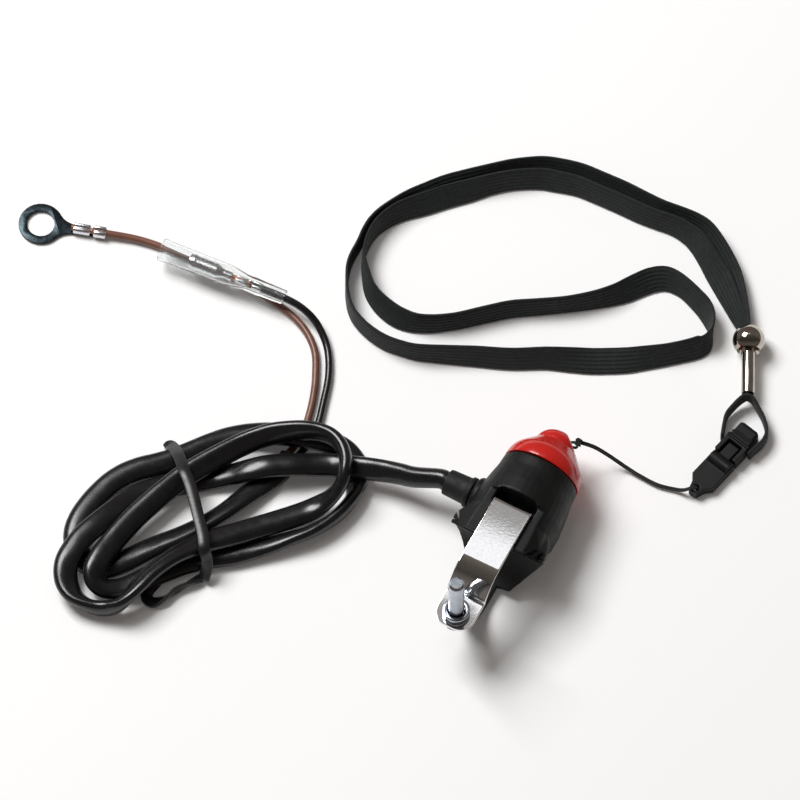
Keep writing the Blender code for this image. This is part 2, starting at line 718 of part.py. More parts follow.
def make_bush(finish, frame):
    top = SPIGOT_HEIGHT - 0.4 * MM
    profile = [
        (PLUNGER_RADIUS + GAP, BUSH_BOTTOM),
        (CHAMBER_RADIUS - GAP, BUSH_BOTTOM),
        (CHAMBER_RADIUS - GAP, top),
        (PLUNGER_RADIUS + 1.4 * MM, top),
        (PLUNGER_RADIUS + GAP, top - 0.9 * MM),
    ]
    return turned("plunger_bush", profile, 32, finish, frame, closed=True)


def make_plunger(finish, frame):
    top = CAP_ROOF - GAP
    collar_bottom = PLUNGER_COLLAR_TOP - PLUNGER_COLLAR_HEIGHT
    profile = [
        (0, top),
        (PLUNGER_RADIUS - 0.8 * MM, top),
        (PLUNGER_RADIUS, top - 0.8 * MM),
        (PLUNGER_RADIUS, PLUNGER_COLLAR_TOP),
        (PLUNGER_COLLAR_RADIUS, PLUNGER_COLLAR_TOP),
        (PLUNGER_COLLAR_RADIUS, collar_bottom),
        (PLUNGER_PIN_RADIUS, collar_bottom),
        (PLUNGER_PIN_RADIUS, PLUNGER_PIN_END + 0.4 * MM),
        (PLUNGER_PIN_RADIUS - 0.4 * MM, PLUNGER_PIN_END),
        (0, PLUNGER_PIN_END),
    ]
    return turned("plunger", profile, 28, finish, frame)


def make_bridge(finish, frame):
    profile = [
        (PLUNGER_PIN_RADIUS + GAP, BRIDGE_BOTTOM),
        (BRIDGE_RADIUS, BRIDGE_BOTTOM),
        (BRIDGE_RADIUS, BRIDGE_TOP),
        (PLUNGER_PIN_RADIUS + GAP, BRIDGE_TOP),
    ]
    return turned("contact_bridge", profile, 28, finish, frame, closed=True)


def make_contact_base(finish, frame):
    seat_radius = SPRING_RADIUS + 2 * SPRING_WIRE_RADIUS + GAP
    profile = [
        (PLUNGER_PIN_RADIUS + GAP, BASE_BOTTOM),
        (CHAMBER_RADIUS - GAP, BASE_BOTTOM),
        (CHAMBER_RADIUS - GAP, BASE_TOP),
        (seat_radius, BASE_TOP),
        (seat_radius, BASE_TOP - 0.6 * MM),
        (PLUNGER_PIN_RADIUS + GAP, BASE_TOP - 0.6 * MM),
    ]
    return turned("contact_base", profile, 28, finish, frame, closed=True)


def make_terminal(name, side, finish, frame):
    """A strip that stands on the base and turns in above the contact bridge."""
    outer = CHAMBER_RADIUS - 1.2 * MM
    inner = outer - TERMINAL_THICKNESS
    tab_end = PLUNGER_COLLAR_RADIUS + GAP
    tab_top = BRIDGE_TOP + PLUNGER_TRAVEL + GAP + TERMINAL_THICKNESS
    foot = BASE_TOP + GAP
    outline = [
        (side * outer, foot),
        (side * outer, tab_top),
        (side * tab_end, tab_top),
        (side * tab_end, tab_top - TERMINAL_THICKNESS),
        (side * inner, tab_top - TERMINAL_THICKNESS),
        (side * inner, foot + TERMINAL_THICKNESS),
        (side * tab_end, foot + TERMINAL_THICKNESS),
        (side * tab_end, foot),
    ]
    return prism(name, outline, -TERMINAL_WIDTH / 2, TERMINAL_WIDTH / 2, "Z", finish, frame)


def make_spring(finish, frame):
    low = BASE_TOP - 0.6 * MM + GAP + SPRING_WIRE_RADIUS
    high = BRIDGE_BOTTOM - GAP - SPRING_WIRE_RADIUS
    points = []
    steps = SPRING_TURNS * 14
    for step in range(steps + 1):
        angle = 2 * math.pi * SPRING_TURNS * step / steps
        height = low + (high - low) * step / steps
        points.append(Vector((SPRING_RADIUS * math.cos(angle), height, SPRING_RADIUS * math.sin(angle))))
    return tube("return_spring", points, SPRING_WIRE_RADIUS, 1, finish, frame)


# Cable, coil and wires, with route points in millimetres in the world

CABLE_ROUTE = [
    (-29.6, 6.9, 12.9), (-34.5, 6.4, 11.2), (-39.4, 5.9, 9.6), (-44.0, 5.0, 8.2), (-49.9, 3.5, 7.5),
]
COIL_OUTLINE = [
    (-51.7, 3.3), (-57.3, 8.7), (-64.7, 11.7), (-74.1, 10.2), (-85.7, 4.2), (-94.7, -2.8),
    (-102.7, -13.5), (-113.1, -25.0), (-119.4, -35.2), (-123.0, -44.6), (-123.6, -54.1),
    (-121.7, -62.9), (-118.0, -71.3), (-112.3, -77.0), (-104.3, -77.8), (-96.9, -75.1),
    (-92.3, -68.1), (-90.0, -60.8), (-81.4, -51.0), (-71.8, -39.9), (-60.1, -29.6),
    (-51.7, -19.6), (-47.3, -10.4), (-47.7, -3.0),
]
COIL_HOLE = [
    (-59.7, -0.9), (-65.3, 1.9), (-74.6, -1.9), (-85.5, -10.6), (-94.7, -22.3), (-101.7, -35.0),
    (-105.4, -45.7), (-106.6, -56.6), (-105.7, -64.8), (-102.3, -67.3), (-98.4, -61.1),
    (-95.4, -53.8), (-86.4, -41.5), (-75.9, -32.2), (-64.3, -21.6), (-57.5, -10.4),
]
TIE_ACROSS_DEG = 41.3
TIE_ROUTE = [
    (-107.6, -16.4, 0.8), (-106.8, -15.5, 2.6), (-104.1, -17.5, 5.8), (-101.3, -20.2, 8.6),
    (-97.2, -24.7, 11.6), (-93.2, -28.5, 11.9), (-89.5, -32.5, 11.7), (-86.0, -36.7, 11.5),
    (-81.9, -41.6, 11.9), (-79.5, -45.3, 11.3), (-77.8, -46.8, 8.0), (-77.1, -48.5, 4.8),
    (-77.2, -50.4, 2.0),
]
BLACK_WIRE_ROUTE = [
    (-70.6, 11.6, 1.6), (-72.6, 19.0, 1.5), (-75.6, 28.3, 1.5), (-80.2, 36.2, 1.7), (-86.4, 41.3, 3.2),
    (-92.4, 42.9, 5.6), (-98.8, 43.1, 6.4), (-106.0, 42.6, 6.4), (-115.3, 41.9, 6.4),
]
BROWN_WIRE_ROUTE = [
    (-74.0, 10.8, 1.5), (-76.0, 18.6, 1.4), (-79.0, 26.2, 1.4), (-83.6, 34.1, 1.4), (-91.0, 39.6, 1.4),
    (-101.2, 42.6, 1.4), (-112.4, 43.6, 1.4), (-122.4, 43.6, 1.4), (-132.7, 43.4, 1.4),
    (-141.3, 43.2, 1.4), (-149.1, 42.0, 1.5), (-157.6, 39.4, 1.7),
]


def make_cable(finish):
    inside = Vector((-CABLE_BORE_END - 2 * MM, RIM_WORLD_Y + CABLE_Y, AXIS_WORLD_Z + CABLE_Z))
    at_gland = inside.copy()
    at_gland.x = -GLAND_END
    points = smooth_route([inside, at_gland] + in_metres(CABLE_ROUTE), 5 * MM)
    return tube("cable", points, CABLE_RADIUS, 3, finish)


def closed_outline(points, per_side):
    """A smooth closed outline through hand-set corner points, as (x, y) in metres."""
    flat = [Vector((x, y, 0)) * MM for x, y in points]
    count = len(flat)
    outline = []
    for index in range(count):
        before, start = flat[index - 1], flat[index]
        end, after = flat[(index + 1) % count], flat[(index + 2) % count]
        for step in range(per_side):
            t = step / per_side
            place = 0.5 * (2 * start + (end - before) * t
                           + (2 * before - 5 * start + 4 * end - after) * t * t
                           + (3 * start - before - 3 * end + after) * t ** 3)
            outline.append((place.x, place.y))
    return outline


def tie_channel(route):
    """Outline of the groove that the tie presses into the loops, as (along, up) in metres."""
    across = math.radians(TIE_ACROSS_DEG)
    middle = route[len(route) // 2]
    path = []
    for point in route:
        away = point - middle
        path.append(Vector((away.y * math.cos(across) - away.x * math.sin(across), point.z)))
    depth = TIE_THICKNESS / 2 + 3 * GAP
    floor = []
    for index, point in enumerate(path):
        before = path[max(index - 1, 0)]
        after = path[min(index + 1, len(path) - 1)]
        along = (after - before).normalized()
        floor.append((point.x - along.y * depth, point.y + along.x * depth))
    left = path[0].x + CUT_REACH / 4
    right = path[-1].x - CUT_REACH / 4
    low = -MM
    high = COIL_HEIGHT + MM
    start = [(left, low), (floor[0][0], low)]
    end = [(floor[-1][0], low), (right, low), (right, high), (left, high)]
    return start + floor + end


def make_coil_and_tie(materials):
    coil = prism("cable_coil", closed_outline(COIL_OUTLINE, 2), 0, COIL_HEIGHT, "Z", materials["black_pvc"])
    hole = prism("guide_coil_hole", closed_outline(COIL_HOLE, 2), -MM, COIL_HEIGHT + MM, "Z")
    combine(coil, hole, "DIFFERENCE")
    bevel(coil, COIL_EDGE, 2, 60)
    route = smooth_route(in_metres(TIE_ROUTE), 2.4 * MM)
    middle = route[len(route) // 2]
    frame = axis_frame("tie_frame", (middle.x / MM, middle.y / MM, 0), TIE_ACROSS_DEG)
    half = TIE_WIDTH / 2 + TIE_SWAY + GAP
    channel = prism("guide_tie_channel", tie_channel(route), -half, half, "X", None, frame)
    combine(coil, channel, "DIFFERENCE")
    across = math.radians(TIE_ACROSS_DEG)
    axis = (math.cos(across), math.sin(across), 0)
    ribbon("cable_tie", route, TIE_WIDTH, TIE_THICKNESS, materials["black_plastic"], None, axis)


def make_gland(finish, frame):
    start = -GLAND_PLATE_OUT - GAP
    flange = start - GLAND_FLANGE_THICKNESS
    bore = CABLE_RADIUS + GAP
    profile = [
        (bore, start),
        (GLAND_FLANGE_RADIUS, start),
        (GLAND_FLANGE_RADIUS, flange),
        (GLAND_RADIUS, flange),
        (GLAND_RADIUS - 0.2 * MM, -GLAND_END + 0.6 * MM),
        (GLAND_RADIUS - 0.7 * MM, -GLAND_END),
        (bore, -GLAND_END),
    ]
    return turned("cable_gland", profile, 28, finish, frame, "X", (0, CABLE_Y, CABLE_Z), True)


def axis_frame(name, start, direction):
    """An empty whose local +X runs along a level direction in the world."""
    empty = add_object(name, None)
    empty.location = Vector(start) * MM
    empty.rotation_euler = (0, 0, math.radians(direction))
    return empty


def make_connector(materials):
    frame = axis_frame("connector_frame", (-139.4, 40.4, 6.4), 4.0)
    inner = SLEEVE_RADIUS - SLEEVE_WALL
    slim_inner = WIRE_RADIUS + GAP
    slim_outer = slim_inner + SLEEVE_WALL
    profile = [
        (inner, 0),
        (SLEEVE_RADIUS, 0),
        (SLEEVE_RADIUS, 1.2 * MM),
        (SLEEVE_RADIUS - 0.2 * MM, 2.0 * MM),
        (SLEEVE_RADIUS - 0.2 * MM, 22.0 * MM),
        (slim_outer + 0.5 * MM, 28.0 * MM),
        (slim_outer, SLEEVE_LENGTH),
        (slim_inner, SLEEVE_LENGTH),
        (slim_inner, 28.5 * MM),
        (inner - 0.2 * MM, 21.5 * MM),
        (inner - 0.2 * MM, 2.0 * MM),
    ]
    turned("connector_sleeve", profile, 24, materials["clear"], frame, "X", closed=True)
    shell = 2.3 * MM
    crimp = WIRE_RADIUS + GAP
    receptacle = [
        (shell - CRIMP_WALL, 9.5 * MM),
        (shell, 9.5 * MM),
        (shell + 0.2 * MM, 11.0 * MM),
        (shell, 12.5 * MM),
        (shell, 18.5 * MM),
        (crimp + 0.3 * MM, 20.0 * MM),
        (crimp, 23.6 * MM),
        (0, 23.6 * MM),
        (0, 19.0 * MM),
        (shell - CRIMP_WALL, 18.0 * MM),
    ]
    turned("bullet_receptacle", receptacle, 20, materials["zinc"], frame, "X", closed=True)


def make_ring_terminal(finish):
    direction = 17.0
    frame = axis_frame("ring_frame", (-177.4, 33.4, 0), direction)
    reach = RING_RADIUS - 0.6 * MM
    neck = 2.1 * MM
    low = FLOOR_CLEARANCE
    ring_outline = arc((0, 0), RING_RADIUS, 18, 342, 34)
    tail = [(10.5 * MM, -neck), (10.5 * MM, neck)]
    ring = prism("ring_terminal", ring_outline + tail, low, low + RING_THICKNESS, "Z", finish, frame)
    barrel = turned(
        "guide_crimp", [(0, reach + 4 * MM), (1.9 * MM, reach + 4 * MM), (1.9 * MM, 20.2 * MM), (0, 20.2 * MM)],
        16, None, frame, "X", (0, 0, low + 1.9 * MM),
    )
    combine(ring, barrel, "UNION")
    hole = cylinder("guide_ring_hole", RING_HOLE_RADIUS, -MM, 4 * MM, "Z", (0, 0, 0), frame, 36)
    combine(ring, hole, "DIFFERENCE")


# Lanyard, with route points in millimetres in the world

LOOP_ROUTE = [
    (5.4, 36.3, 14.3), (4.9, 35.5, 14.6), (3.2, 35.25, 14.65), (0.0, 35.25, 14.65), (-3.2, 35.25, 14.65),
    (-5.2, 35.2, 14.4), (-6.2, 35.6, 12.8), (-5.2, 36.5, 10.6), (-2.0, 37.5, 9.3), (1.4, 38.3, 10.0),
    (3.4, 38.4, 11.6),
]
KNOT_PLACE = (4.9, 38.2, 13.4)
THIN_CORD_ROUTE = [
    (6.6, 39.0, 12.6), (9.6, 40.6, 9.6), (13.6, 41.8, 5.6), (18.6, 42.3, 2.2), (24.0, 42.0, 1.2),
    (30.0, 41.8, 1.2), (35.4, 42.9, 1.3), (39.2, 43.9, 2.2),
]
CLIP_START = (41.2, 45.2, 0.0)
CLIP_DIRECTION = 77.0
WEBBING_ROUTE = [
    (40.4, 64.4, 2.8), (39.2, 67.8, 2.8), (38.3, 71.5, 3.0), (39.1, 75.4, 3.6), (40.2, 78.0, 4.4),
    (41.4, 79.2, 4.8), (43.2, 79.2, 4.4), (45.4, 78.0, 3.6), (49.0, 75.4, 3.0), (51.7, 72.0, 2.8),
    (52.1, 68.2, 2.8), (51.0, 64.6, 2.8), (50.4, 62.6, 2.8),
]
FERRULE_START = (41.1, 80.2, 5.2)
FERRULE_DIRECTION = 116.5
BAND_ROUTE = [
    (32.3, 100.3), (29.6, 105.6), (25.0, 111.8), (18.8, 117.4), (9.6, 122.8), (-3.2, 126.3), (-20.7, 127.1),
    (-37.4, 126.3), (-51.7, 121.1), (-65.5, 108.2), (-78.2, 93.2), (-86.4, 79.4), (-87.9, 66.1),
    (-84.1, 54.8), (-78.9, 46.8), (-71.9, 43.3), (-62.4, 43.3), (-47.4, 47.4), (-30.8, 54.9),
    (-14.7, 63.3), (0.9, 72.6), (14.5, 82.7), (20.6, 91.2), (21.0, 98.3), (17.8, 103.1),
    (10.6, 106.5), (3.0, 107.9), (-2.8, 106.0), (-7.3, 101.4), (-15.8, 91.6), (-27.7, 81.6),
    (-40.0, 72.5), (-49.0, 63.6), (-55.8, 57.0), (-64.1, 54.6), (-72.0, 56.5), (-78.9, 60.5),
    (-83.0, 67.0), (-83.8, 75.0), (-81.0, 84.5), (-73.9, 94.9), (-61.6, 107.2), (-50.0, 117.6),
    (-36.6, 123.0), (-20.7, 123.9), (-3.9, 123.0), (8.2, 119.3), (16.4, 114.0), (22.6, 108.0),
    (27.0, 103.4), (30.6, 99.6),
]


def make_clip(materials):
    frame = axis_frame("clip_frame", CLIP_START, CLIP_DIRECTION)
    half = CLIP_WIDTH / 2
    low = FLOOR_CLEARANCE
    tongue = CLIP_TONGUE_WIDTH / 2
    plug_outline = [
        (-1.6 * MM, -1.4 * MM), (-1.6 * MM, 1.4 * MM), (1.4 * MM, 2.4 * MM), (3.4 * MM, half),
        (13.6 * MM, half), (13.6 * MM, tongue), (18.6 * MM, tongue), (18.6 * MM, -tongue),
        (13.6 * MM, -tongue), (13.6 * MM, -half), (3.4 * MM, -half), (1.4 * MM, -2.4 * MM),
    ]
    plug = prism("clip_plug", plug_outline, low, 3.6 * MM, "Z", materials["black_plastic"], frame)
    grip = turned(
        "guide_clip_grip", [(0, -half + 0.4 * MM), (2.2 * MM, -half + 0.4 * MM), (2.2 * MM, half - 0.4 * MM), (0, half - 0.4 * MM)],
        16, None, frame, "Y", (11.6 * MM, 0, 3.0 * MM),
    )
    combine(plug, grip, "UNION")
    eye = cylinder("guide_clip_eye", 1.15 * MM, -MM, 8 * MM, "Z", (0.2 * MM, 0, 0), frame, 12)
    combine(plug, eye, "DIFFERENCE")
    socket_outline = [
        (13.9 * MM, -half), (13.9 * MM, half), (20.6 * MM, half), (21.2 * MM, 3.5 * MM),
        (25.4 * MM, 3.5 * MM), (26.0 * MM, 2.6 * MM), (26.0 * MM, -2.6 * MM), (25.4 * MM, -3.5 * MM),
        (21.2 * MM, -3.5 * MM), (20.6 * MM, -half),
    ]
    socket = prism("clip_socket", socket_outline, low, CLIP_HEIGHT, "Z", materials["black_plastic"], frame)
    window = block(
        "guide_clip_window", (12 * MM, -tongue - GAP, -MM), (19.0 * MM, tongue + GAP, 8 * MM), None, frame
    )
    combine(socket, window, "DIFFERENCE")


def make_ferrule_and_bead(materials):
    frame = axis_frame("ferrule_frame", FERRULE_START, FERRULE_DIRECTION)
    ferrule = [
        (FERRULE_BORE_RADIUS, 0),
        (FERRULE_RADIUS, 0),
        (FERRULE_RADIUS, FERRULE_LENGTH),
        (FERRULE_BORE_RADIUS, FERRULE_LENGTH),
    ]
    turned("ferrule", ferrule, SMALL_SEGMENTS, materials["nickel"], frame, "X", closed=True)
    centre = FERRULE_LENGTH - 0.6 * MM
    bore = FERRULE_RADIUS + GAP
    mouth_angle = math.degrees(math.acos(BEAD_MOUTH_RADIUS / BEAD_RADIUS))
    ball = [(r, centre + h) for r, h in arc((0, 0), BEAD_RADIUS, -mouth_angle, mouth_angle, 12)]
    profile = ball + [(BEAD_MOUTH_RADIUS - 0.6 * MM, centre + 3.3 * MM), (bore, centre + 1.4 * MM),
                      (bore, centre - 1.4 * MM), (BEAD_MOUTH_RADIUS - 0.6 * MM, centre - 3.3 * MM)]
    turned("bead", profile, 28, materials["nickel"], frame, "X", closed=True)


def make_lanyard(materials):
    webbing = materials["black_webbing"]
    tube("lanyard_loop", smooth_route(in_metres(LOOP_ROUTE), 1.6 * MM), THIN_CORD_RADIUS, 1, webbing)
    knot = turned(
        "lanyard_knot",
        [(0, -KNOT_RADIUS), (1.0 * MM, -1.1 * MM), (KNOT_RADIUS, 0), (1.0 * MM, 1.1 * MM), (0, KNOT_RADIUS)],
        12, webbing, None, "Z",
    )
    knot.location = Vector(KNOT_PLACE) * MM
    tube("lanyard_cord", smooth_route(in_metres(THIN_CORD_ROUTE), 2.4 * MM), DOUBLE_CORD_RADIUS, 2, webbing)
    make_clip(materials)
    ribbon("webbing_loop", smooth_route(in_metres(WEBBING_ROUTE), 1.6 * MM), WEBBING_WIDTH, WEBBING_THICKNESS, webbing)
    make_ferrule_and_bead(materials)
    band_middle = FLOOR_CLEARANCE / MM + BAND_WIDTH / MM / 2
    route = [(x, y, band_middle) for x, y in BAND_ROUTE]
    ribbon("neck_band", smooth_route(in_metres(route), 7 * MM), BAND_WIDTH, BAND_THICKNESS, webbing)


def build():
    clear_scene()
    materials = make_materials()
    frame = add_object("switch_frame", None)
    frame.location = (0, RIM_WORLD_Y, AXIS_WORLD_Z)

    make_housing(materials["black_plastic"], frame)
    make_liner(materials["black_rubber"], frame)
    make_strap(materials["chrome"], frame)
    make_screw(materials["zinc"], frame)
    make_nut(materials["zinc"], frame)
    make_cap(materials["red_plastic"], frame)
    make_bush(materials["black_plastic"], frame)
    make_plunger(materials["black_plastic"], frame)
    make_bridge(materials["brass"], frame)
    make_contact_base(materials["black_plastic"], frame)
    make_terminal("terminal_left", -1, materials["brass"], frame)
    make_terminal("terminal_right", 1, materials["brass"], frame)
    make_spring(materials["zinc"], frame)
    make_gland(materials["black_rubber"], frame)
    make_cable(materials["black_pvc"])
    make_coil_and_tie(materials)
    tube("wire_black", smooth_route(in_metres(BLACK_WIRE_ROUTE), 3 * MM), WIRE_RADIUS, 2, materials["black_pvc"])
    tube("wire_brown", smooth_route(in_metres(BROWN_WIRE_ROUTE), 3 * MM), WIRE_RADIUS, 2, materials["brown_pvc"])
    make_connector(materials)
    make_ring_terminal(materials["tinned"])
    make_lanyard(materials)


build()
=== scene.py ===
# Looks of an engine kill switch with a lanyard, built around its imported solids.
# Everything is in metres in the part's own frame: the switch lies strap side up, +Y runs
# along its barrel towards the red cap, and the lead and the lanyard lie beside it.

import math

import bmesh
import bpy
from mathutils import Matrix, Vector


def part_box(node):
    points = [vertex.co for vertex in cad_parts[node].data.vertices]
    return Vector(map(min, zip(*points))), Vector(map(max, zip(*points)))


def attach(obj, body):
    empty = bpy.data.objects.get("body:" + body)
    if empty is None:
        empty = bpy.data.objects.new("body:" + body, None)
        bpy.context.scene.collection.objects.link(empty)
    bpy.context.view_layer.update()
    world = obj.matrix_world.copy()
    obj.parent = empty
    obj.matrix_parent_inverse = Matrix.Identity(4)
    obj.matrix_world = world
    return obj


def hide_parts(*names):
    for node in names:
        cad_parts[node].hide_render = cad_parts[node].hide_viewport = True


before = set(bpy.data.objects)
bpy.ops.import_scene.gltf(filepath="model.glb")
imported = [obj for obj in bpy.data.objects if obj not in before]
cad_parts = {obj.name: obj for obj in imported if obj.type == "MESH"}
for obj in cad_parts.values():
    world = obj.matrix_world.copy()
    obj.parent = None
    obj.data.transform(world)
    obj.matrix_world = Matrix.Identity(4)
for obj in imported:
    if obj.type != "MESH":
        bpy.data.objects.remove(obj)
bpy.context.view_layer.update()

MM = 0.001
GAP = 0.3 * MM
UP = Vector((0, 0, 1))
MERGE_DISTANCE = 0.002 * MM
SHARP_ANGLE = math.radians(38)

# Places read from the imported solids
CAP_LOW, CAP_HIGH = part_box("cap")
RIM_Y = CAP_LOW.y - GAP
AXIS_Z = (CAP_LOW.z + CAP_HIGH.z) / 2
SCREW_LOW, SCREW_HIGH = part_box("clamp_screw")
SCREW_Y = (SCREW_LOW.y + SCREW_HIGH.y) / 2 - RIM_Y
NUT_LOW, NUT_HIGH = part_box("clamp_nut")
GLAND_LOW, GLAND_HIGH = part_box("cable_gland")
LEAD_EXIT = Vector((GLAND_LOW.x, (GLAND_LOW.y + GLAND_HIGH.y) / 2, (GLAND_LOW.z + GLAND_HIGH.z) / 2))

# Housing and its liner, in the switch's own frame: the cap's rim is at y = 0 and the
# barrel's axis at z = 0. The slots lie between the lips of the wings, and each has a first
# end, a last end, a width and a lowest point (mm).
HOUSING_VOXEL = 0.32 * MM
LINER_VOXEL = 0.24 * MM
WING_SLOTS = [
    ((9.4, -30.6), (12.9, -26.7), 1.7, 3.0),
    ((14.6, -25.9), (12.4, -31.9), 1.2, 0.0),
    ((-16.4, -23.0), (-13.3, -28.0), 0.8, -1.0),
]
WING_SLOT_TOP = 14 * MM
WING_SLOT_STEPS = 10

# Cap
RIM_RADIUS = 12.5 * MM
DOME_START = 1.0 * MM
DOME_RADIUS = 8.0 * MM
DOME_END = math.radians(42)
DOME_STEPS = 14
CREASE_ROUNDING = 0.8 * MM
NOSE_RADIUS = 6.9 * MM
NOSE_ROUNDING = 5.0 * MM
NOSE_TIP_HALF_WIDTH = 1.1 * MM
NOSE_EDGE_SOFTNESS = 0.5 * MM
NOSE_TURN = math.radians(9)
NOSE_STEPS = 24
CAP_HEIGHT = CAP_HIGH.y - RIM_Y
CAP_BORE_RADIUS = 9.9 * MM
CAP_BORE_DEPTH = 5.4 * MM
CAP_ROOF = 8.6 * MM
CAP_ROOF_RADIUS = 3.6 * MM
CAP_LIP_ROUNDING = 0.35 * MM
CORD_HOLE_RADIUS = 1.1 * MM
CORD_HOLE_BELOW_TIP = 2.6 * MM

# Strap, screw and nut of the clamp
BAR_Y = -38.4 * MM
STRAP_WIDTH = 12.6 * MM
STRAP_THICKNESS = 1.0 * MM
STRAP_EDGE_ROUNDING = 0.28 * MM
STRAP_EDGE_MARGIN = 0.15 * MM
STRAP_RADIUS = 11.65 * MM
STRAP_CROWN = math.radians(1.9)
STRAP_HOOK_Y = -17.6 * MM
STRAP_FOOT_Z = 5.0 * MM
STRAP_FOOT_LENGTH = 4.0 * MM
STRAP_BEND = 1.5 * MM
STRAP_FLAT_STEPS = 24
STRAP_WRAP_END = math.radians(30)
STRAP_FOLD_RADIUS = 1.2 * MM
STRAP_EAR_END = -60.2 * MM
STRAP_EAR_ROUNDING = 4.7 * MM
STRAP_EAR_STEPS = 20
SCREW_RADIUS = 2.4 * MM
SCREW_CHAMFER = 0.7 * MM
SCREW_HEAD_HEIGHT = 1.3 * MM
SCREW_HEAD_CHAMFER = 0.3 * MM
SCREW_SLOT_WIDTH = 1.1 * MM
SCREW_SLOT_DEPTH = 0.7 * MM
SCREW_HOLE_RADIUS = 2.7 * MM
SCREW_ROWS = 280
THREAD_PITCH = 0.8 * MM
THREAD_DEPTH = 0.07 * MM
NUT_BORE_RADIUS = 2.75 * MM
NUT_ROUNDING = 0.45 * MM

# Gland: from its flange on the housing to its lip round the lead
GLAND_FLANGE_RADIUS = 4.9 * MM
GLAND_FLANGE_THICKNESS = 1.4 * MM
GLAND_RADIUS = 4.3 * MM
GLAND_LIP_START = 1.1 * MM
GLAND_TAPER = 0.2 * MM
GLAND_SHOULDER = 0.3 * MM
GLAND_BORE_RADIUS = 3.4 * MM
GLAND_ROUNDING = 0.45 * MM

# Camera: a long lens far away, at the photograph's angle and scale
CAMERA_AZIMUTH = math.radians(27.6)
CAMERA_ELEVATION = math.radians(64.0)
CAMERA_DISTANCE = 8.0
SENSOR_WIDTH = 36.0
PICTURE_SIZE = 800
PIXELS_PER_METRE = 3300.0
RIM_CENTRE_PIXEL = (540.4, 475.5)
RIM_CENTRE = Vector((0, RIM_Y, AXIS_Z))
VIEW_RIGHT = Vector((math.cos(CAMERA_AZIMUTH), math.sin(CAMERA_AZIMUTH), 0))
VIEW_BACK = Vector((
    math.sin(CAMERA_AZIMUTH) * math.cos(CAMERA_ELEVATION),
    -math.cos(CAMERA_AZIMUTH) * math.cos(CAMERA_ELEVATION),
    math.sin(CAMERA_ELEVATION),
))
VIEW_UP = VIEW_BACK.cross(VIEW_RIGHT)
VIEW_AHEAD = Vector((-VIEW_RIGHT.y, VIEW_RIGHT.x, 0))

# Studio
FLOOR_REACH = 3.0
FLOOR_LIFT = 0.05
LIGHT_TARGET = Vector((-0.05, 0.02, 0))
KEY_DIRECTION = VIEW_RIGHT * -0.42 + VIEW_AHEAD * 0.36 + UP * 0.83
KEY_DISTANCE = 2.2
KEY_SIZE = (1.0, 1.0)
KEY_POWER = 51.0
TOP_DIRECTION = Vector((-0.2, 0.0, 0.98))
TOP_DISTANCE = 2.4
TOP_SIZE = (0.7, 1.1)
TOP_POWER = 4.0
# Brightness of the room by how far a direction leans ahead of the zenith (tangent)
SKY_REACH = 1.2
SKY_LOWEST = 0.05
SKY_STOPS = [
    (-1.2, (0.15, 0.125, 0.115)), (-0.75, (0.10, 0.085, 0.075)), (-0.45, (0.05, 0.045, 0.04)),
    (0.0, (0.08, 0.07, 0.055)), (0.3, (0.13, 0.115, 0.095)), (0.5, (0.16, 0.14, 0.13)),
    (0.8, (0.17, 0.145, 0.135)), (1.2, (0.17, 0.14, 0.13)),
]
# Cards that the flat of the strap mirrors: far edge, near edge (tangents) and brightness
CARDS = [
    (0.62, 0.452, (0.36, 0.35, 0.34)),
    (0.452, 0.36, (1.1, 1.1, 1.12)),
]
CARD_HALF_WIDTH = 0.15
CARD_EDGE = 0.010
# Colour sockets of a mix node, which has others of the same names
MIX_FIRST = 6
MIX_SECOND = 7
MIX_RESULT = 2

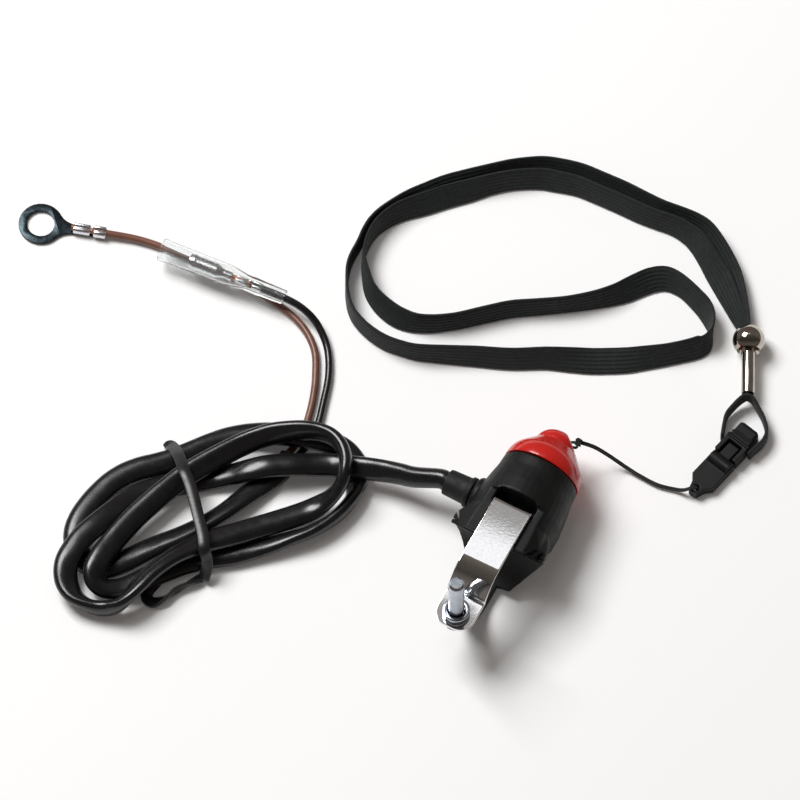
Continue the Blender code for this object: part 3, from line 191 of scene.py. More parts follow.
# Lead: a flat two-core sheath, rounder where it leaves the gland. Each point of its route is
# where its middle shows in the photograph (pixels), its height (mm) and its roll (degrees).
SHEATH_WIDTH = 7.4 * MM
SHEATH_THICKNESS = 4.2 * MM
SHEATH_SQUARENESS = 2.25
LEAVING_ROLL = math.radians(44)
LEAVING_DIAMETER = 5.9 * MM
LEAVING_LENGTH = 42.0 * MM
LEAD_IN_GLAND = 6 * MM
LEAD_CLEAR = Vector((-2.5, 0, -0.3)) * MM
LEAD_ROUTE = [
    (415, 477.2, 11.2, 44), (400, 474, 9.6, 43), (385, 471.2, 8.2, 40), (370, 469.2, 7.6, 35),
    (357, 468, 6.9, 29), (345, 466.6, 6.4, 21), (330, 465.2, 5.4, 12), (312, 465, 5.6, 4),
    (295, 464.8, 6.5, 0), (280, 465.3, 6.7, 0), (265, 466.8, 6.7, 0), (248, 470.5, 5.6, -5),
    (232, 474.5, 3.5, -8), (216, 478, 2.2, -4), (198, 481, 2.15, 0), (178, 484.5, 2.15, 0),
    (158, 488.5, 2.3, 0), (140, 494.5, 2.9, 5), (124.5, 503, 4.1, 8), (111, 513, 5.6, 8),
    (97, 524, 6.5, 4), (84, 535.5, 6.6, 4), (74, 548, 6.6, 0), (67.5, 560, 6.4, 4), (65.5, 572, 5.8, 8),
    (67.5, 584, 5.0, 20), (74, 595, 4.4, 40), (84, 602.5, 4.0, 62), (96, 607.5, 3.8, 80),
    (108, 608, 4.4, 85), (119, 604.5, 5.9, 78), (129, 596, 7.5, 64), (138.5, 585.5, 8.3, 50),
    (149.5, 574, 8.4, 45), (162, 564, 8.2, 42), (176, 555, 7.8, 36), (192, 547.5, 7.1, 24),
    (207, 541.5, 6.7, 12), (224, 537, 6.3, 5), (241, 532.5, 5.9, 0), (258, 527.5, 5.5, 0),
    (275, 522.5, 5.3, 0), (292, 517, 5.2, 2), (308, 511, 5.3, 8), (322, 503.5, 6.3, 25),
    (333, 495, 8.2, 50), (341, 484, 10.2, 75), (345, 471, 11.9, 88), (345.3, 458, 12.1, 90),
    (341, 446, 11.9, 90), (332, 437, 11.4, 85), (319, 432, 10.9, 78), (304, 430.5, 10.5, 70),
    (288, 431.5, 9.8, 62), (272, 434, 8.9, 54), (256, 439, 8.1, 48), (240, 445.5, 7.6, 42),
    (224, 453.5, 7.4, 38), (208, 462, 7.2, 32), (193, 470.5, 7.0, 28), (178, 480.5, 6.8, 24),
    (164, 491.5, 6.8, 20), (150, 503.5, 6.7, 18), (136, 516, 6.6, 16), (123, 529.5, 6.6, 15),
    (111.5, 543, 6.6, 14), (101.5, 556.5, 6.8, 12), (95.5, 569, 6.5, 14), (96.5, 580.5, 5.2, 20),
    (104, 588, 3.6, 22), (115, 589.5, 2.5, 12), (127, 587.5, 2.2, 3), (139.5, 582, 2.15, 0),
    (153, 575.5, 2.15, 0), (168, 569.5, 2.15, 0), (184, 563.5, 2.15, 0), (200, 559.5, 2.15, 0),
    (216, 556.5, 2.15, 0), (232, 554.5, 2.2, 5), (250, 550, 2.3, 12), (270, 544.5, 2.6, 26),
    (290, 538, 3.2, 45), (309, 532, 3.6, 60), (326, 523.5, 3.7, 72), (340, 513, 3.7, 80),
    (350.5, 501, 3.6, 78), (356, 489, 3.0, 50), (357.5, 477, 2.2, 10), (355.5, 465, 2.15, 0),
    (348.5, 454.5, 2.4, 5), (339, 447, 3.2, 5), (326, 441.5, 4.2, 2), (311, 438, 4.6, 0),
    (296, 435.6, 4.2, 0), (280, 434.2, 3.4, 0), (262, 434, 2.6, 0), (243, 436, 2.3, 5),
    (225, 440, 2.3, 8), (207, 446.5, 2.4, 12), (190, 453.5, 2.4, 12), (172, 460.5, 2.4, 12),
    (156, 465, 2.4, 10), (141, 468.5, 2.4, 8), (126, 474, 2.3, 5), (112, 482.5, 2.2, 4),
    (99.5, 493.5, 2.15, 0), (88.5, 506, 2.15, 0), (80, 519, 2.15, 0), (75.5, 532, 2.15, 0),
    (76, 545.5, 2.15, 0), (81.5, 557.5, 2.15, 0), (91.5, 565.5, 2.15, 0), (104.5, 567.5, 2.15, 0),
    (119, 563.5, 2.15, 0), (133, 557, 2.2, 8), (148, 549.5, 2.4, 15), (164, 542.5, 2.5, 24),
    (180, 536, 2.6, 30), (196, 528.5, 2.7, 34), (211, 520, 2.9, 38), (226, 510.5, 2.9, 36),
    (240, 500.5, 2.7, 28), (252, 491.5, 2.4, 14), (264, 483.5, 2.15, 2), (275, 475, 2.1, 0),
    (284, 466, 2.1, 0), (291, 457.5, 2.1, 0),
]

# Tie round the hank: a strip with ribs on its outer face and a ripple along it. Its front
# strand and its tail each have a route like the lead's.
TIE_WIDTH = 3.6 * MM
TIE_THICKNESS = 1.0 * MM
TIE_HEIGHT = 1.8 * TIE_THICKNESS
TIE_SQUARENESS = 6.0
TIE_RIBS = 2
TIE_RIB_HEIGHT = 0.55 * MM
TIE_RIPPLE = 0.12
TIE_STEPS = 30
TIE_FRONT_ROUTE = [
    (166.5, 449.5, 0.8, 0), (170, 445.5, 2.6, 0), (175, 450, 5.8, 0), (179, 457, 8.6, 0),
    (184, 470, 11.6, 0), (190, 485, 11.9, 0), (194.5, 501, 11.7, 0), (198.5, 517, 11.5, 0),
    (203, 535, 11.9, 0), (204.5, 549, 11.3, 0), (207, 560, 8.0, 0), (206.5, 570, 4.8, 0),
    (203.5, 579, 2.0, 0),
]
TIE_TAIL_ROUTE = [
    (212, 545.5, 1.0, 0), (205, 553, 1.0, 0), (193, 562, 1.0, 15), (180, 568, 1.4, 60),
    (168, 574, 2.0, 80), (157, 582, 1.6, 50), (148.5, 591, 1.0, 10), (147, 598, 1.0, 0),
    (154, 602.5, 1.2, 10), (165, 597.5, 1.8, 60), (176, 590, 1.8, 90), (189, 583.5, 1.4, 60),
    (201, 579, 1.0, 20),
]

# Cores of the lead, as in the part (mm)
WIRE_RADIUS = 1.15 * MM
BLACK_WIRE_ROUTE = [
    (-71.4, -4.4, 2.1), (-71.2, -1.6, 1.9), (-70.7, 2.4, 1.25), (-70.3, 6.6, 1.25), (-70.6, 11.6, 1.3),
    (-72.6, 19.0, 1.3), (-75.6, 28.3, 1.35), (-80.2, 36.2, 1.6), (-86.4, 41.3, 3.2), (-92.4, 42.9, 5.6),
    (-98.8, 43.1, 6.4), (-105.0, 42.75, 6.4), (-109.9, 42.45, 6.4),
]
BROWN_WIRE_ROUTE = [
    (-74.4, -4.0, 2.1), (-74.1, -1.2, 1.9), (-73.7, 2.6, 1.25), (-73.6, 6.8, 1.25), (-74.0, 10.8, 1.3),
    (-76.0, 18.6, 1.3), (-79.0, 26.2, 1.3), (-83.6, 34.1, 1.3), (-91.0, 39.6, 1.3), (-101.2, 42.6, 1.3),
    (-112.4, 43.6, 1.3), (-122.4, 43.6, 1.3), (-132.7, 43.4, 1.3), (-141.3, 43.2, 1.35),
    (-149.1, 42.0, 1.5), (-157.6, 39.4, 1.9), (-162.0, 38.1, 2.1),
]

# Connector on the black core: sections as (radius, distance), a strip with its low and high
# end, half width, bottom and top, and crimps with their low and high end and radius (mm)
CONNECTOR_START = Vector((-139.4, 40.4, 6.4)) * MM
CONNECTOR_HEADING = 4.0
SLEEVE_SECTION = [
    (2.8, 0.0), (3.6, 0.0), (3.6, 1.2), (3.4, 2.4), (3.4, 21.5), (2.8, 26.4), (2.45, 28.2), (2.6, 31.0),
    (2.4, 34.5), (2.25, 41.0), (1.45, 41.0), (1.45, 29.0), (2.6, 21.5), (2.6, 2.0),
]
SLEEVE_ROUNDING = 0.5 * MM
RECEPTACLE_SECTION = [
    (1.8, 9.5), (2.3, 9.5), (2.3, 10.4), (2.5, 10.8), (2.5, 11.3), (2.3, 11.7), (2.3, 18.5), (1.75, 20.0),
    (1.45, 20.7), (1.45, 23.6), (0.7, 23.6), (0.7, 20.6), (1.8, 18.3),
]
RECEPTACLE_ROUNDING = 0.18 * MM
CONNECTOR_STRIP = (23.2, 33.0, 0.8, -1.35, -1.0)
CONNECTOR_CRIMPS = [("core_crimp", 24.8, 28.8, 1.3), ("grip_crimp", 30.4, 33.4, 1.42)]
CONNECTOR_STRANDS = (22.0, 30.0)

# Ring terminal on the brown core, with its strip and crimps given in the same way
RING_CENTRE = Vector((-177.4, 33.4, 0)) * MM
RING_HEADING = 17.0
RING_RADIUS = 6.8 * MM
RING_HOLE_RADIUS = 4.2 * MM
RING_LOW = 0.2 * MM
RING_HIGH = 1.1 * MM
RING_EDGE_ROUNDING = 0.16 * MM
RING_STEPS = 72
NECK_ANGLE = 38
NECK_HALF_WIDTH = 1.6 * MM
NECK_END = 10.8 * MM
NECK_STEPS = 10
RING_STRIP = (10.0, 20.0, 1.2, 0.3, 0.9)
RING_CRIMPS = [("ring_core_crimp", 10.2, 15.4, 1.72), ("ring_grip_crimp", 16.5, 20.3, 1.9)]
RING_STRANDS = (9.5, 16.2)
CRIMP_CENTRE_Z = 1.95 * MM
CRIMP_STEPS = 48
CRIMP_FOLD_DEPTH = 0.42
CRIMP_FOLD_WIDTH = 0.34
CRIMP_EDGE = 0.25 * MM
CRIMP_SHOULDER = 0.97
CRIMP_END = 0.88
COPPER_RADIUS = 0.8 * MM
COPPER_STRANDS = 6
COPPER_BULGE = 0.1
COPPER_LAY = 900
COPPER_STEPS = 16

# Lanyard's thin cord and its knot, as in the part (mm)
THIN_CORD_RADIUS = 0.44 * MM
STRAND_OFFSET = 0.32 * MM
STRAND_OVERLAP = 1.04
KNOT_CENTRE = Vector((4.9, 38.2, 13.4)) * MM
KNOT_SIZE = 0.34 * MM
KNOT_RISE = 1.6
KNOT_OPEN_ANGLE = 0.3
KNOT_STEPS = 96
LOOP_ROUTE = [
    (5.4, 36.3, 14.3), (4.9, 35.5, 14.6), (3.2, 35.25, 14.65), (0.0, 35.25, 14.65), (-3.2, 35.25, 14.65),
    (-5.2, 35.2, 14.4), (-6.2, 35.6, 12.8), (-5.2, 36.5, 10.6), (-2.0, 37.5, 9.3), (1.4, 38.3, 10.0),
    (3.4, 38.4, 11.6),
]
CORD_ROUTE = [
    (5.0, 38.3, 13.3), (6.6, 39.0, 12.6), (9.6, 40.6, 9.6), (13.6, 41.8, 5.6), (18.6, 42.3, 2.2),
    (24.0, 42.0, 1.2), (30.0, 41.8, 1.2), (35.4, 42.9, 1.3), (38.2, 43.4, 2.6), (40.2, 44.3, 4.3),
    (41.2, 45.3, 4.2), (41.5, 45.8, 2.4), (41.5, 45.9, 1.0),
]

# Clip's bars: low and high end along the clip, half width, bottom and top (mm)
CLIP_START = Vector((41.2, 45.2, 0)) * MM
CLIP_HEADING = 77.0
CLIP_VOXEL = 0.17 * MM
PLUG_TONGUE = (12.4, 18.3, 1.9, 2.6, 4.3)
SOCKET_BARS = [(19.7, 20.4, 4.15, 3.0, 5.5), (21.5, 22.1, 3.7, 3.0, 5.4), (22.9, 25.2, 3.0, 3.0, 5.3)]

# Ferrule, ball and webbing loop
FERRULE_START = Vector((41.1, 80.2, 5.2)) * MM
FERRULE_HEADING = 116.5
FERRULE_RADIUS = 2.05 * MM
FERRULE_BORE_RADIUS = 1.6 * MM
FERRULE_LENGTH = 18.6 * MM
FERRULE_ROUNDING = 0.18 * MM
BEAD_PLACE = 18.0 * MM
BEAD_RADIUS = 5.0 * MM
BEAD_MOUTH_RADIUS = 3.6 * MM
BEAD_BORE_RADIUS = 2.35 * MM
BEAD_BORE_TAPER = 0.05 * MM
BEAD_BORE_START = -1.2 * MM
BEAD_LIP = 0.35 * MM
BEAD_STEPS = 40
WEBBING_WIDTH = 4.8 * MM
WEBBING_THICKNESS = 1.1 * MM
WEBBING_ROUTE = [
    (40.4, 64.4, 2.8), (39.2, 67.8, 2.8), (38.3, 71.5, 3.0), (39.1, 75.4, 3.6), (40.2, 78.0, 4.4),
    (41.4, 79.2, 4.8), (43.2, 79.2, 4.4), (45.4, 78.0, 3.6), (49.0, 75.4, 3.0), (51.7, 72.0, 2.8),
    (52.1, 68.2, 2.8), (51.0, 64.6, 2.8), (50.4, 62.6, 2.8),
]

# Neck band. Each point is where its lower edge shows in the photograph (pixels) and how far
# the band leans (degrees from the ground on its right-hand side, 90 is upright).
BAND_WIDTH = 8.0 * MM
BAND_THICKNESS = 1.0 * MM
BAND_FLOOR = 0.35
BAND_PINCH = 17.0 * MM
BAND_PINCHED = 0.36
BAND_PINCH_LEAD = 1.25
BAND_LAYER = 0.55 * BAND_THICKNESS
BAND_IN_FERRULE = 1.0 * MM
BAND_ROUTE = [
    (736, 331, 45), (732.9, 326.6, 45), (725.2, 311.2, 35), (716.8, 294.3, 33), (708.4, 278.9, 36),
    (700, 262.1, 49), (691.5, 248.7, 56), (683.1, 240.3, 62), (671.9, 233.3, 68), (656.5, 227.7, 69),
    (638.2, 220.7, 68), (618.6, 211.6, 68), (596.1, 201.7, 69), (576.5, 194, 67), (554, 189.8, 62),
    (540, 187.7, 63), (515.4, 188.4, 66), (494.3, 192.6, 64), (471.9, 200.3, 55), (449.4, 206.6, 52),
    (427, 213.7, 54), (407.3, 218.6, 62), (393.3, 224.2, 69), (380.7, 231.9, 77), (373.7, 238.9, 82),
    (368, 248, 86), (362.8, 262, 92), (362.8, 279.6, 102), (365.2, 294.3, 109), (371.1, 306, 114),
    (379.9, 316.3, 119), (391.6, 325.1, 120), (404.8, 330.2, 116), (418, 332.1, 109), (432.7, 332.1, 106),
    (447.4, 330.2, 103), (462, 328, 103), (491.4, 321.4, 104), (513.4, 317, 104), (540, 314.5, 102),
    (568.1, 311.7, 101), (596.1, 308.2, 107), (617.2, 304.7, 118), (631.2, 301.2, 130),
    (645.2, 295.6, 136), (655.1, 292.1, 141), (664.9, 290.4, 137), (673.3, 292.1, 125),
    (683.1, 297.7, 118), (691.5, 306.1, 119), (700, 315.9, 120), (707, 326.5, 112), (712, 336, 96),
    (713, 345, 78), (710, 352.5, 63), (701.4, 358, 58), (687.3, 361.5, 60), (673.3, 364.4, 60),
    (663.5, 366.5, 57), (645.2, 370, 48), (629.8, 372.8, 36), (610.2, 373.9, 29), (589.1, 373.9, 30),
    (568.1, 371.8, 44), (554, 370, 53), (542.7, 369.1, 58), (510.4, 369.5, 61), (476.7, 366.4, 65),
    (447.4, 363.5, 72), (418, 360, 79), (400.4, 355.2, 82), (382.8, 348.6, 82), (366.7, 337.5, 83),
    (354.9, 325.1, 84), (349, 313.3, 86), (346.6, 300, 88), (346.6, 287, 90), (348, 275, 92),
    (351.5, 264, 92), (358.5, 251, 92), (365.5, 239.5, 96), (373, 230.5, 100), (383, 223.5, 106),
    (397, 216.5, 113), (413, 210, 122), (431, 203.5, 127), (450, 196.3, 128), (471, 190.1, 125),
    (493.8, 182.5, 116), (515.4, 177.4, 114), (540.7, 175.7, 117), (556.8, 177.4, 118), (580, 181.5, 114),
    (600.6, 189.2, 112), (623.6, 199.1, 112), (643.2, 209, 112), (661.5, 217.5, 111), (677.9, 223.8, 112),
    (692.9, 231.5, 118), (702.7, 239.6, 124), (710, 252.5, 132), (717.4, 270, 143), (724.3, 288, 147),
    (730.6, 306, 145), (737.5, 322, 136), (740, 328, 135),
]


# Places and curves

def from_picture(across, down, height):
    """The place at a height in millimetres that shows at a pixel of the photograph."""
    right = (across - RIM_CENTRE_PIXEL[0]) / PIXELS_PER_METRE
    up = (RIM_CENTRE_PIXEL[1] - down) / PIXELS_PER_METRE
    rise = height * MM - AXIS_Z
    ahead = (up - rise * math.cos(CAMERA_ELEVATION)) / math.sin(CAMERA_ELEVATION)
    return Vector((0, RIM_Y, height * MM)) + VIEW_RIGHT * right + VIEW_AHEAD * ahead


def picture_route(points):
    """Route points with the roll as a fourth number, in metres and radians."""
    return [Vector((*from_picture(across, down, height), math.radians(roll)))
            for across, down, height, roll in points]


def in_switch(x, y, z):
    return Vector((x, RIM_Y + y, AXIS_Z + z))


def in_metres(points):
    return [Vector(point) * MM for point in points]


def heading(degrees):
    return Vector((math.cos(math.radians(degrees)), math.sin(math.radians(degrees)), 0))


def eased(t):
    """A share from 0 to 1, softened at both ends."""
    t = max(0.0, t)
    return t * t * (3 - 2 * t)


def smooth_through(points, steps):
    """A smooth curve through points given as vectors of any size."""
    padded = [2 * points[0] - points[1]] + list(points) + [2 * points[-1] - points[-2]]
    smooth = []
    for index in range(1, len(padded) - 2):
        before, start, end, after = padded[index - 1:index + 3]
        for step in range(steps):
            t = step / steps
            smooth.append(
                0.5 * (2 * start + (end - before) * t
                       + (2 * before - 5 * start + 4 * end - after) * t * t
                       + (3 * start - before - 3 * end + after) * t ** 3)
            )
    smooth.append(points[-1].copy())
    return smooth


def distances(points):
    """How far along a path each of its points lies."""
    walked = [0.0]
    for before, after in zip(points, points[1:]):
        walked.append(walked[-1] + (after - before).length)
    return walked


def places(stations):
    return [spot for spot, wide, deep in stations]


def leaning_stations(route, steps):
    """Frames along a strip: place, direction of its width and direction of its thickness."""
    smooth = smooth_through(route, steps)
    stations = []
    for index, spot in enumerate(smooth):
        ahead = smooth[min(index + 1, len(smooth) - 1)] - smooth[max(index - 1, 0)]
        along = Vector(ahead[:3]).normalized()
        side = along.cross(UP).normalized()
        above = side.cross(along)
        wide = side * math.cos(spot[3]) + above * math.sin(spot[3])
        stations.append((Vector(spot[:3]), wide, along.cross(wide).normalized()))
    return stations


def carried_stations(points, first_wide):
    """Frames along a cord, whose width direction is carried on without twisting."""
    stations = []
    wide = Vector(first_wide)
    for index, spot in enumerate(points):
        along = (points[min(index + 1, len(points) - 1)] - points[max(index - 1, 0)]).normalized()
        wide = (wide - along * wide.dot(along)).normalized()
        stations.append((spot, wide, along.cross(wide)))
    return stations


def above_floor(stations, width, thickness, squareness):
    """Lifts the stations whose section would reach below the floor."""
    power = squareness / (squareness - 1)
    lifted = []
    for spot, wide, deep in stations:
        reach = ((width / 2 * abs(wide.z)) ** power + (thickness / 2 * abs(deep.z)) ** power) ** (1 / power)
        lifted.append((Vector((spot.x, spot.y, max(spot.z, reach))), wide, deep))
    return lifted


def oval(width, thickness, count, squareness=2.0):
    """A rounded section: 2 gives an ellipse, more gives flatter faces."""
    section = []
    for step in range(count):
        angle = 2 * math.pi * step / count
        across = math.copysign(abs(math.cos(angle)) ** (2 / squareness), math.cos(angle))
        deep = math.copysign(abs(math.sin(angle)) ** (2 / squareness), math.sin(angle))
        section.append((across * width / 2, deep * thickness / 2))
    return section


def rounded(profile, radius, closed=False, steps=4):
    """Rounds the corners of a profile with short arcs."""
    made = []
    count = len(profile)
    for index, corner in enumerate(profile):
        if not closed and index in (0, count - 1):
            made.append(corner)
            continue
        here = Vector((*corner, 0))
        before = Vector((*profile[index - 1], 0)) - here
        after = Vector((*profile[(index + 1) % count], 0)) - here
        reach = min(radius, before.length * 0.45, after.length * 0.45)
        enter = here + before.normalized() * reach
        leave = here + after.normalized() * reach
        for step in range(steps + 1):
            t = step / steps
            spot = enter * (1 - t) ** 2 + here * 2 * t * (1 - t) + leave * t ** 2
            made.append((spot.x, spot.y))
    if closed:
        made.append(made[0])
    return made


# Objects

def ring_faces(rings, count):
    """Faces between rings of points that follow one another."""
    faces = []
    for ring in range(rings - 1):
        for index in range(count):
            after = (index + 1) % count
            faces.append((ring * count + index, ring * count + after,
                          (ring + 1) * count + after, (ring + 1) * count + index))
    return faces


def add_mesh(name, vertices, faces, finish, uvs=None):
    mesh = bpy.data.meshes.new(name)
    mesh.from_pydata(vertices, [], faces)
    mesh.validate()
    if uvs is not None:
        layer = mesh.uv_layers.new(name="UVMap")
        for loop in mesh.loops:
            layer.data[loop.index].uv = uvs[loop.vertex_index]
    mesh.shade_smooth()
    mesh.materials.append(MATERIALS[finish])
    return add_object(name, mesh)


def add_object(name, data):
    made = bpy.data.objects.new(name, data)
    bpy.context.scene.collection.objects.link(made)
    return made


def sweep(name, stations, section, finish):
    """Sweeps a closed section along stations. Its UV runs along and around it in metres."""
    vertices = []
    uvs = []
    for walked, (spot, wide, deep) in zip(distances(places(stations)), stations):
        for across, depth in section:
            vertices.append(spot + wide * across + deep * depth)
            uvs.append((walked, across))
    count = len(section)
    last = (len(stations) - 1) * count
    ends = [tuple(reversed(range(count))), tuple(range(last, last + count))]
    return add_mesh(name, vertices, ring_faces(len(stations), count) + ends, finish, uvs)


def turned(name, start, axis, profile, finish, segments=64, shape=None):
    """Turns (radius, distance) points about an axis into a solid; shape may move each point."""
    axis = Vector(axis).normalized()
    across = (UP if abs(axis.z) < 0.9 else Vector((1, 0, 0))).cross(axis).normalized()
    third = axis.cross(across)
    vertices = []
    for radius, distance in profile:
        for step in range(segments):
            angle = 2 * math.pi * step / segments
            first, second = radius * math.cos(angle), radius * math.sin(angle)
            if shape is not None:
                first, second = shape(first, second, distance)
            vertices.append(Vector(start) + axis * distance + across * first + third * second)
    return closed_mesh(add_mesh(name, vertices, ring_faces(len(profile), segments), finish))


def rod(name, start, axis, radius, length, segments=32):
    """A plain round bar to cut with."""
    profile = [(0, 0), (radius, 0), (radius, length), (0, length)]
    return turned(name, start, axis, profile, "black_plastic", segments)


def slab(name, start, degrees, outline, low, high, finish="black_plastic"):
    """A plate over an outline of (along, across) points, turned about the vertical."""
    along = heading(degrees)
    across = UP.cross(along)
    count = len(outline)
    vertices = []
    for level in (low, high):
        for first, second in outline:
            vertices.append(Vector(start) + along * first + across * second + UP * level)
    ends = [tuple(reversed(range(count))), tuple(range(count, 2 * count))]
    return closed_mesh(add_mesh(name, vertices, ends + ring_faces(2, count), finish))


def bar(name, start, degrees, size, finish="black_plastic"):
    """A straight bar from its low end, high end, half width, bottom and top in millimetres."""
    low, high, half, bottom, top = (value * MM for value in size)
    outline = [(low, -half), (high, -half), (high, half), (low, half)]
    return slab(name, start, degrees, outline, bottom, top, finish)


def shade(made):
    made.data.shade_smooth()
    made.data.set_sharp_from_angle(angle=SHARP_ANGLE)
    return made


def closed_mesh(made):
    """Joins doubled points and fills the ends, so that a piece is a solid."""
    bm = bmesh.new()
    bm.from_mesh(made.data)
    bmesh.ops.remove_doubles(bm, verts=bm.verts, dist=MERGE_DISTANCE)
    bmesh.ops.holes_fill(bm, edges=[edge for edge in bm.edges if edge.is_boundary], sides=0)
    bmesh.ops.recalc_face_normals(bm, faces=bm.faces)
    bm.to_mesh(made.data)
    bm.free()
    return shade(made)


def apply_modifiers(made):
    """Puts the result of the piece's modifiers in its mesh."""
    shown = made.evaluated_get(bpy.context.evaluated_depsgraph_get())
    mesh = bpy.data.meshes.new_from_object(shown)
    made.modifiers.clear()
    made.data = mesh
    return made


def cut(target, cutter, operation="DIFFERENCE"):
    modifier = target.modifiers.new("Cut", "BOOLEAN")
    modifier.operation = operation
    modifier.solver = "EXACT"
    modifier.object = cutter
    apply_modifiers(target)
    bpy.data.objects.remove(cutter, do_unlink=True)
    return shade(target)


def fused(pieces):
    """Joins overlapping solids into the first of them."""
    for other in pieces[1:]:
        cut(pieces[0], other, "UNION")
    return pieces[0]


def softened(made, width):
    """Rounds the sharp edges of a piece."""
    bevel = made.modifiers.new("Bevel", "BEVEL")
    bevel.width = width
    bevel.segments = 3
    bevel.limit_method = "ANGLE"
    bevel.angle_limit = math.radians(40)
    return shade(apply_modifiers(made))


def moulded(name, pieces, voxel, rounds, finish):
    """Fuses pieces into one softly rounded moulding."""
    bm = bmesh.new()
    for piece in pieces:
        mesh = piece.data.copy()
        mesh.transform(piece.matrix_world)
        bm.from_mesh(mesh)
        bpy.data.meshes.remove(mesh)
    bmesh.ops.remove_doubles(bm, verts=bm.verts, dist=MERGE_DISTANCE)
    mesh = bpy.data.meshes.new(name)
    bm.to_mesh(mesh)
    bm.free()
    made = add_object(name, mesh)
    remesh = made.modifiers.new("Remesh", "REMESH")
    remesh.mode = "VOXEL"
    remesh.voxel_size = voxel
    smooth = made.modifiers.new("Smooth", "SMOOTH")
    smooth.factor = 0.5
    smooth.iterations = rounds
    apply_modifiers(made)
    made.data.materials.clear()
    made.data.materials.append(MATERIALS[finish])
    made.data.shade_smooth()
    for piece in pieces:
        if piece.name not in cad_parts:
            bpy.data.objects.remove(piece, do_unlink=True)
    return made


def stands_for(made, body, slot, *nodes):
    """Lets a piece move with a body in place of the solids that it shows in detail."""
    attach(made, body)
    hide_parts(*nodes)
    return made


# Materials

# Values of the noise between which a finish goes from its first tone to its second
NOISE_SPREAD = (0.3, 0.7)


def new_material(name, colour, roughness, values):
    made = bpy.data.materials.new(name)
    made.use_nodes = True
    shader = made.node_tree.nodes["Principled BSDF"]
    shader.inputs["Base Color"].default_value = (*colour, 1)
    shader.inputs["Roughness"].default_value = roughness
    for socket, value in values.items():
        shader.inputs[socket].default_value = value
    return made, made.node_tree, shader


def math_node(tree, operation, *values):
    """A calculation with sockets and plain numbers."""
    node = tree.nodes.new("ShaderNodeMath")
    node.operation = operation
    for socket, value in zip(node.inputs, values):
        if isinstance(value, (int, float)):
            socket.default_value = value
        else:
            tree.links.new(value, socket)
    return node.outputs["Value"]


def map_range(tree, value, from_low, from_high, to_low=0.0, to_high=1.0):
    node = tree.nodes.new("ShaderNodeMapRange")
    node.inputs["From Min"].default_value = from_low
    node.inputs["From Max"].default_value = from_high
    node.inputs["To Min"].default_value = to_low
    node.inputs["To Max"].default_value = to_high
    tree.links.new(value, node.inputs["Value"])
    return node.outputs["Result"]


def place_parts(tree, output):
    """The X, Y and Z of a place in the piece's own space or UV."""
    parts = tree.nodes.new("ShaderNodeSeparateXYZ")
    tree.links.new(tree.nodes.new("ShaderNodeTexCoord").outputs[output], parts.inputs["Vector"])
    return parts.outputs


def noise(tree, scale, detail):
    """Noise in the object's own space; scale is in turns per metre."""
    texture = tree.nodes.new("ShaderNodeTexNoise")
    texture.inputs["Scale"].default_value = scale
    texture.inputs["Detail"].default_value = detail
    tree.links.new(tree.nodes.new("ShaderNodeTexCoord").outputs["Object"], texture.inputs["Vector"])
    return texture.outputs["Fac"]


def two_tones(tree, value, dark, light, target):
    node = tree.nodes.new("ShaderNodeValToRGB")
    for stop, position, colour in zip(node.color_ramp.elements, NOISE_SPREAD, (dark, light)):
        stop.position = position
        stop.color = (*colour, 1)
    tree.links.new(value, node.inputs["Fac"])
    tree.links.new(node.outputs["Color"], target)


def relief(tree, shader, height, strength, depth):
    node = tree.nodes.new("ShaderNodeBump")
    node.inputs["Strength"].default_value = strength
    node.inputs["Distance"].default_value = depth
    tree.links.new(height, node.inputs["Height"])
    tree.links.new(node.outputs["Normal"], shader.inputs["Normal"])


def make_finish(name, colour, roughness, tones, gloss, bumps, **values):
    """A finish with noise in its colour (scale, detail, dark, light), in its roughness (scale,
    detail, low, high) and in its relief (scale, detail, strength, depth). Other values go on
    the shader's sockets of those names."""
    named = {socket.replace("_", " "): value for socket, value in values.items()}
    made, tree, shader = new_material(name, colour, roughness, named)
    if tones:
        scale, detail, dark, light = tones
        two_tones(tree, noise(tree, scale, detail), dark, light, shader.inputs["Base Color"])
    scale, detail, low, high = gloss
    rough = map_range(tree, noise(tree, scale, detail), *NOISE_SPREAD, low, high)
    tree.links.new(rough, shader.inputs["Roughness"])
    scale, detail, strength, depth = bumps
    relief(tree, shader, noise(tree, scale, detail), strength, depth * MM)
    return made


def make_pvc(name, dark, light, roughness):
    return make_finish(name, dark, roughness, (220, 3, dark, light),
                       (500, 3, roughness - 0.03, roughness + 0.05), (260, 2, 0.06, 0.05))


def make_metal(name, dark, light, smooth, rough, scale, mottle):
    """Plated metal with a soft mottle in its shine."""
    return make_finish(name, light, rough, (scale, 3, dark, light), (scale * 1.7, 3, smooth, rough),
                       (scale, 2, mottle, 0.1), Metallic=1.0)


def make_tin_with_painted_light():
    """Tin that is dark on the flat ring and bright on the crimps that stand above it: painted shade and
    painted highlights, set by height.
    """
    made = make_finish("tinned_dark", (0.08, 0.1, 0.11), 0.3, None, (700, 3, 0.2, 0.34), (900, 3, 0.3, 0.1),
                       Metallic=1.0)
    tree = made.node_tree
    # Painted light by height: painted shade on the low flat ring, painted highlight on the crimps above it
    height = map_range(tree, place_parts(tree, "Object")["Z"], RING_HIGH + 0.1 * MM, RING_HIGH + 0.6 * MM)
    grain_and_painted_light = math_node(tree, "MULTIPLY_ADD", noise(tree, 800, 3), 0.3, height)
    # Dark tone is painted shade and light tone a painted highlight, on one and the same tin
    two_tones(tree, grain_and_painted_light, (0.028, 0.038, 0.043), (0.7, 0.7, 0.73),
              tree.nodes["Principled BSDF"].inputs["Base Color"])
    return made


